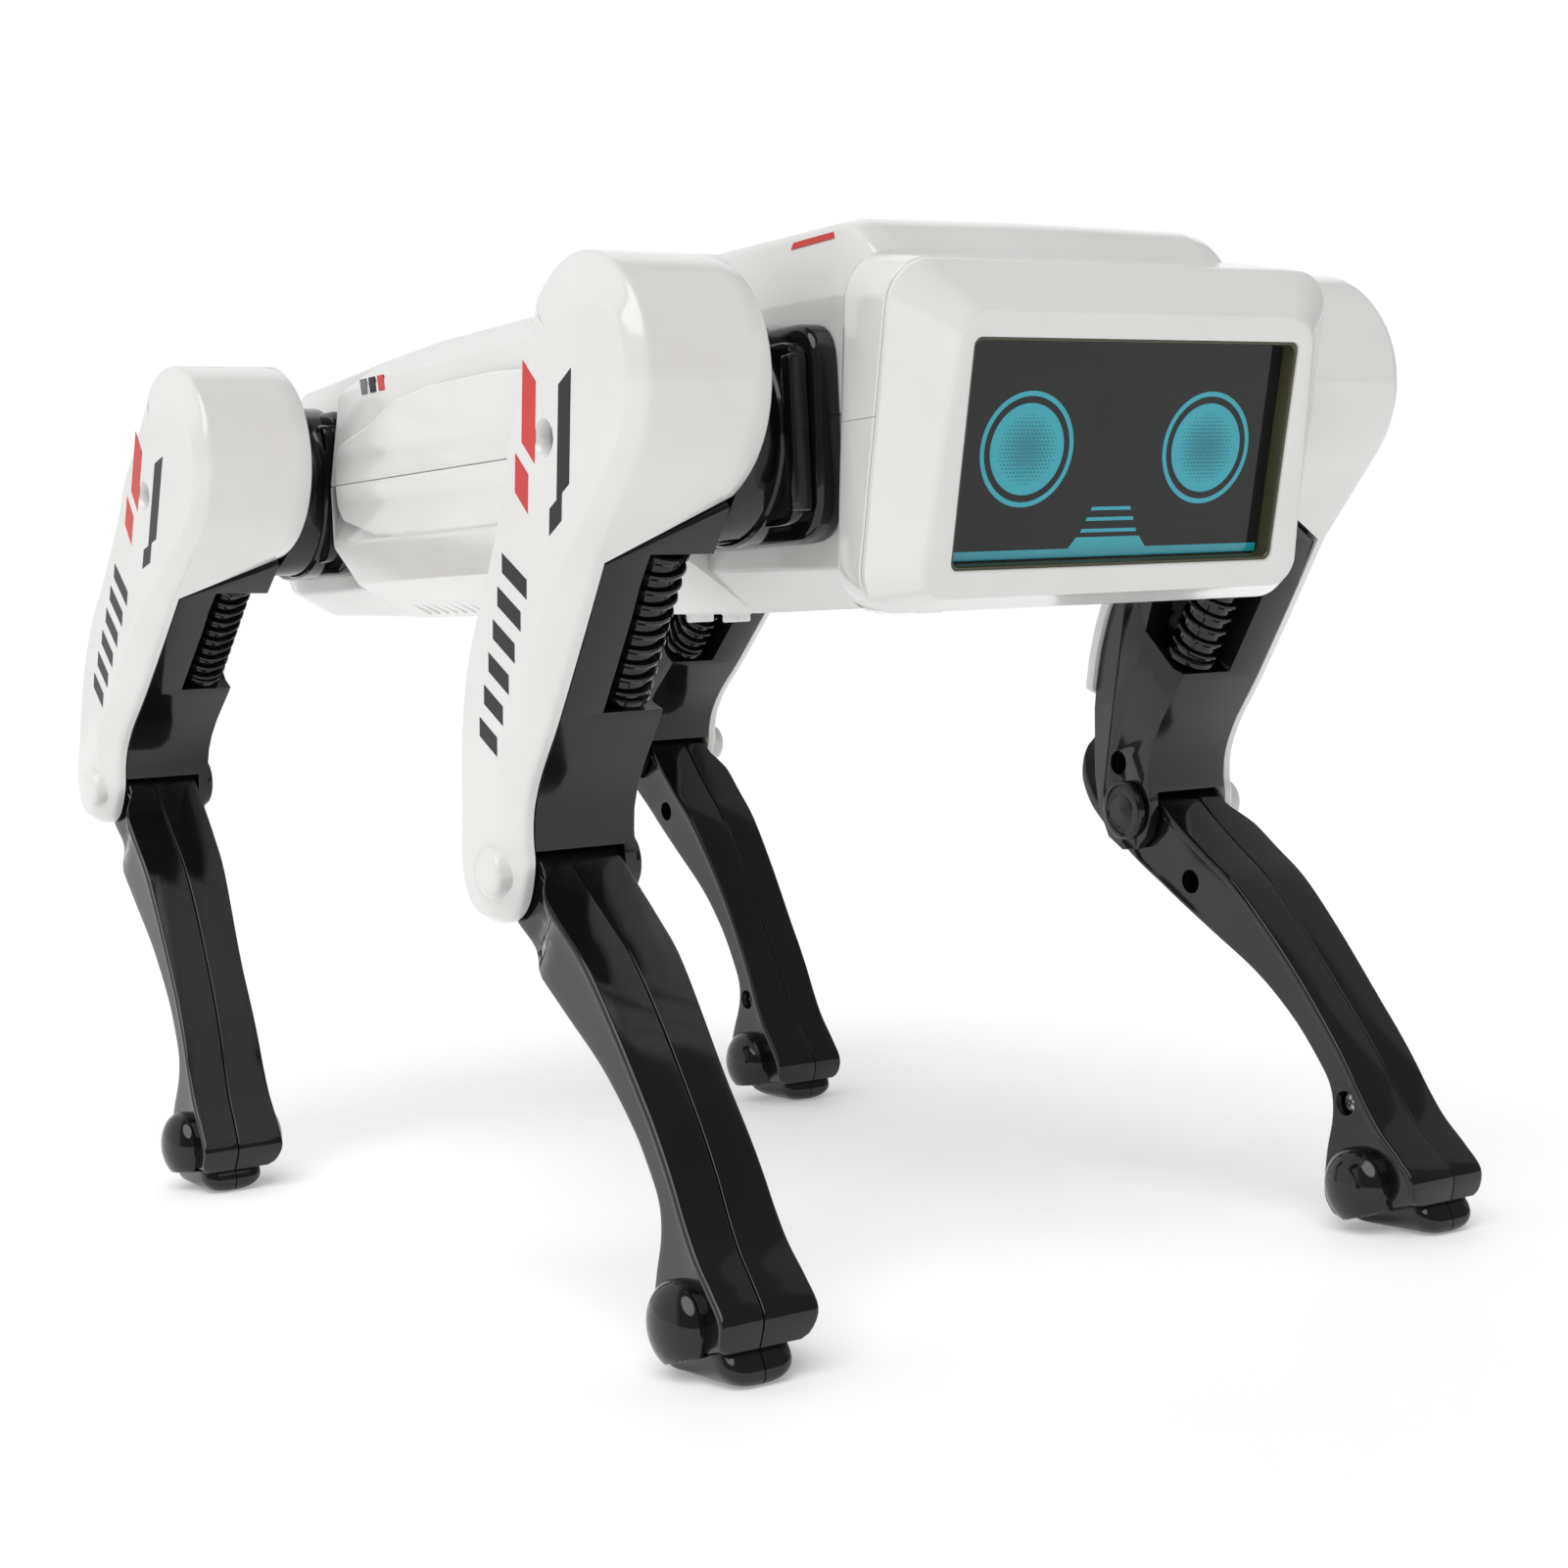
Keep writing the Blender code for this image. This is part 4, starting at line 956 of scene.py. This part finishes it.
def trunk_line(at, pod, upward):
    """Half of the casing's section at y, from the parting line to near the middle, with its corner radii."""
    if upward:
        sx, sz, dx, dz, top = at_y(UPPER_TABLE, at)
        px, pz = at_y(POD_UPPER, at)
        line = [(sx + POD_OUT * pod, PARTING_Z + PARTING_GAP), (sx + (px - sx) * pod, sz + (pz - sz) * pod),
                (dx, dz), (dx - 5.0, dz + 0.75 * (top - dz)), (6.0, top)]
        return line, [0.45, 2.6, 2.2, 6.0, 8.0]
    sx, side, fx, fz, bx, bz = at_y(LOWER_TABLE, at)
    pside, pfx, pfz, pbx, pbz = at_y(POD_LOWER, at)
    half = sx + POD_OUT * pod
    line = [(half, PARTING_Z - PARTING_GAP), (half, side + (pside - side) * pod),
            (fx + (pfx - fx) * pod, fz + (pfz - fz) * pod), (bx + (pbx - bx) * pod, bz + (pbz - bz) * pod),
            (6.0, bz)]
    return line, [0.45, 2.4, 2.0, 1.6, 2.0]


def trunk_half(upward):
    """The casing above or below the parting line, as a closed body."""
    stops = {row[0] for row in UPPER_TABLE if row[0] > FRONT_Y}
    stops |= {-90.0, -40.0, 0.0, 100.0, 125.0, 133.0, 138.0, 140.6, 142.0}
    stops |= {sign * (POD_END_Y - inside)
              for sign in (-1, 1) for inside in (-0.01, 0.0, 0.1, 0.4, 0.9, 1.6, 2.4, 3.0)}
    front = [(FRONT_Y - 13.5 * lean, lean) for lean in (1.0, 0.85, 0.7, 0.55, 0.4, 0.25, 0.1)]
    rings = []
    for at, lean in front + [(y, 0.0) for y in sorted(stops)]:
        line, radii = trunk_line(at, pod_share(at), upward)
        outline = rounded(line + [(-x, z) for x, z in reversed(line)], radii + radii[::-1])
        # the front rings lean like the face
        rings.append([(x, FRONT_Y - (4.2 + 0.13 * (z - 132.0)) * lean if lean else at, z)
                      for x, z in outline])
    return loft(from_origin(rings))


def panel_half(side, upward):
    """The raised panel on a pod's side, above or below the parting line."""
    edge = PARTING_Z + (PARTING_GAP if upward else -PARTING_GAP)
    rings = []
    for out, smaller in ((-1.5, 0.0), (0.25, 0.0), (0.5, 0.08), (0.7, 0.3), (0.8, 0.65)):
        outline = inset(rounded(PANEL_OUTLINE, 4.0), smaller)
        gap = 0.0 if out < 0.3 else smaller * 0.6
        line = [(y, max(z, edge + gap) if upward else min(z, edge - gap)) for y, z in outline]
        rings.append([(side * (POD_SIDE_X + out), y, z) for y, z in line])
    return loft(from_origin(rings))


def box(low, high):
    (x0, y0, z0), (x1, y1, z1) = low, high
    return loft(from_origin([[(x0, y0, z), (x1, y0, z), (x1, y1, z), (x0, y1, z)] for z in (z0, z1)]))


def on_side(side, line, slope, foot_x, foot_z, levels):
    """A thin printed shape on a side that leans inwards, from (y, z) points."""
    return loft(from_origin([[(side * (foot_x - slope * (z - foot_z) + rise), y, z) for y, z in line]
                             for rise in levels]))


def stripes():
    """Three small stripes near the rear on both pods and a red strip on the hood's edge."""
    wide, slant, low, high = 3.1, 1.8, 187.2, 190.8
    for name, material, y in (("stripe_grey", GREY, 56.2), ("stripe_ink", INK, 51.6),
                              ("stripe_red", RED, 47.0)):
        line = [(y, low), (y + wide, low), (y + wide + slant, high), (y + slant, high)]
        shapes = [on_side(side, line, POD_SLOPE, POD_SIDE_X, PARTING_Z, (-0.3, 0.05, 0.07))
                  for side in (-1, 1)]
        settle(piece(name, shapes, material), "trunk", "face_print")
    line = [(-121.0, 198.3), (-107.0, 198.1), (-107.6, 199.3), (-120.4, 199.5)]
    strip = on_side(-1, line, HOOD_SLOPE, 44.0, 188.0, (-0.4, 0.1, 0.12))
    settle(piece("strip_red", [strip], RED), "trunk", "face_print")


def ribs(side):
    """Fine slanted ribs along the casing's lower flank."""
    made = []
    for k in range(RIB_COUNT):
        y = RIB_FROM + RIB_STEP * k
        rings = []
        for share in (0.12, 0.5, 0.88):
            x, z = 48.0 - 15.0 * share, 143.8 - 10.1 * share + 1.5 * (y - RIB_FROM) / 132.0
            rings.append([(side * (x + out * 0.56), y - 5.0 * share + aside, z - out * 0.83)
                          for out, aside in ((-0.6, -0.55), (0.28, -0.3), (0.28, 0.3), (-0.6, 0.55))])
        made.append(loft(from_origin(rings)))
    return made


def trunk():
    """The two casing halves with their side panels, cut for the hip shafts and the belly's fittings."""
    shafts = []
    for corner, _, side in CORNERS:
        ring = circle((HIPS[corner].y, HIPS[corner].z), 9.0, 32)
        shafts.append(loft([[(side * x, y, z) for y, z in ring] for x in (36.0, 60.0)]))
    belly = [box((-27.3, -58.3, 120), (27.3, 52.3, 142)), box((-3.0, 92.2, 120), (3.0, 100.8, 142)),
             box((-5.2, 112.0, 120), (5.2, 118.6, 142))]
    for name, node, upward in (("trunk_top", "upper_shell", True), ("trunk_foot", "lower_shell", False)):
        made = piece(name, [trunk_half(upward)], WHITE, 30.0)
        for side in (-1, 1):
            boolean(made, "UNION", panel_half(side, upward), 30.0)
        for cut in shafts if upward else shafts + belly:
            boolean(made, "DIFFERENCE", cut, 30.0)
        settle(made, "trunk", "shell_white", node)
    settle(piece("flank_ribs", ribs(-1) + ribs(1), WHITE), "trunk", "shell_white")
    stripes()


def battery_door():
    skin = softened("battery_door", "battery_door_skin", WHITE, 0.4)
    settle(skin, "trunk", "shell_white", "battery_door")


# -------------------- CAD nodes kept as they are

KEPT = {"hip_motor": MOTOR, "hip_shaft": STEEL, "power_switch": BLACK, "charge_socket": BLACK,
        "door_screw": STEEL, "circuit_board": BOARD, "led_board": BOARD, "battery_pack": CELL,
        "speaker": MOTOR}


def kept_nodes():
    """Gives the nodes that stay visible their full materials."""
    endings = tuple(f"_{corner}" for corner, _, _ in CORNERS)
    for node, made in frame["nodes"].items():
        base = node[:-3] if node.endswith(endings) else node
        if base in KEPT:
            made.data.materials.clear()
            made.data.materials.append(KEPT[base])
            smooth(made, 30.0)


# -------------------- studio

def floor():
    """A pale floor that gives off a little light of its own."""
    made, tree, shader = shader_of("pale_floor")
    tint = ramp(tree, noise(tree, 3.0), (0.87, 0.87, 0.87), (0.90, 0.90, 0.90))
    tree.links.new(tint, shader.inputs["Base Color"])
    tree.links.new(spread(tree, noise(tree, 30.0), 0.6, 0.8), shader.inputs["Roughness"])
    bump(tree, shader, ((noise(tree, 600.0), 0.05, 0.0002),))
    shader.inputs["Emission Color"].default_value = (1.0, 1.0, 1.0, 1.0)
    shader.inputs["Emission Strength"].default_value = 0.28
    mesh = bpy.data.meshes.new("floor")
    shaped = bmesh.new()
    bmesh.ops.create_grid(shaped, x_segments=8, y_segments=8, size=4.0)
    shaped.to_mesh(mesh)
    shaped.free()
    mesh.materials.append(made)
    plane = add_object("floor", mesh)
    plane.location.z = -0.0001


def sun(name, towards, power, angle):
    """A soft lamp that stands towards a direction."""
    data = bpy.data.lights.new(name, "SUN")
    data.energy = power
    data.angle = radians(angle)
    made = add_object(name, data)
    made.rotation_mode = "QUATERNION"
    made.rotation_quaternion = Vector(towards).to_track_quat("Z", "Y")


def studio():
    """A surround that is bright behind, darker in front and white in the picture, and two wide soft lamps."""
    world = bpy.data.worlds.new("studio")
    world.use_nodes = True
    tree = world.node_tree
    place = tree.nodes.new("ShaderNodeTexCoord").outputs["Generated"]
    towards = tree.nodes.new("ShaderNodeVectorMath")
    towards.operation = "DOT_PRODUCT"
    towards.inputs[1].default_value = (-0.25, 0.95, -0.15)
    tree.links.new(place, towards.inputs[0])
    around = spread(tree, towards.outputs["Value"], 0.2, 0.85, 0.12, 0.3)
    mix = tree.nodes.new("ShaderNodeMix")
    tree.links.new(tree.nodes.new("ShaderNodeLightPath").outputs["Is Camera Ray"], mix.inputs["Factor"])
    tree.links.new(around, mix.inputs["A"])
    mix.inputs["B"].default_value = 1.0
    tree.links.new(mix.outputs["Result"], tree.nodes["Background"].inputs["Strength"])
    tree.nodes["Background"].inputs["Color"].default_value = (1.0, 1.0, 1.0, 1.0)
    bpy.context.scene.world = world
    bpy.context.scene.view_settings.view_transform = "Standard"
    sun("key", (-0.42, -0.42, 0.8), 1.75, 50.0)
    sun("fill", (0.8, 0.3, 0.5), 0.25, 80.0)


CAMERA_PLACE = (-0.3305, -0.54325, 0.1281)
CAMERA_LENS, SENSOR_WIDTH = 65.11, 36.0
CAMERA_TURN, CAMERA_RISE, CAMERA_ROLL = -33.04, 3.31, -2.74


def camera():
    data = bpy.data.cameras.new("camera")
    data.lens, data.sensor_width = CAMERA_LENS, SENSOR_WIDTH
    made = add_object("camera", data)
    turn, rise, roll = (radians(angle) for angle in (CAMERA_TURN, CAMERA_RISE, CAMERA_ROLL))
    back = Vector((sin(turn) * cos(rise), -cos(turn) * cos(rise), sin(rise)))
    level = Vector((cos(turn), sin(turn), 0.0))
    up = back.cross(level)
    right = cos(roll) * level + sin(roll) * up
    up = -sin(roll) * level + cos(roll) * up
    made.matrix_world = Matrix((right, up, back)).transposed().to_4x4()
    made.location = CAMERA_PLACE
    data.clip_start, data.clip_end = 0.01, 20.0
    bpy.context.scene.camera = made


legs()
trunk()
bezel()
casing()
screen()
battery_door()
kept_nodes()
floor()
studio()
camera()
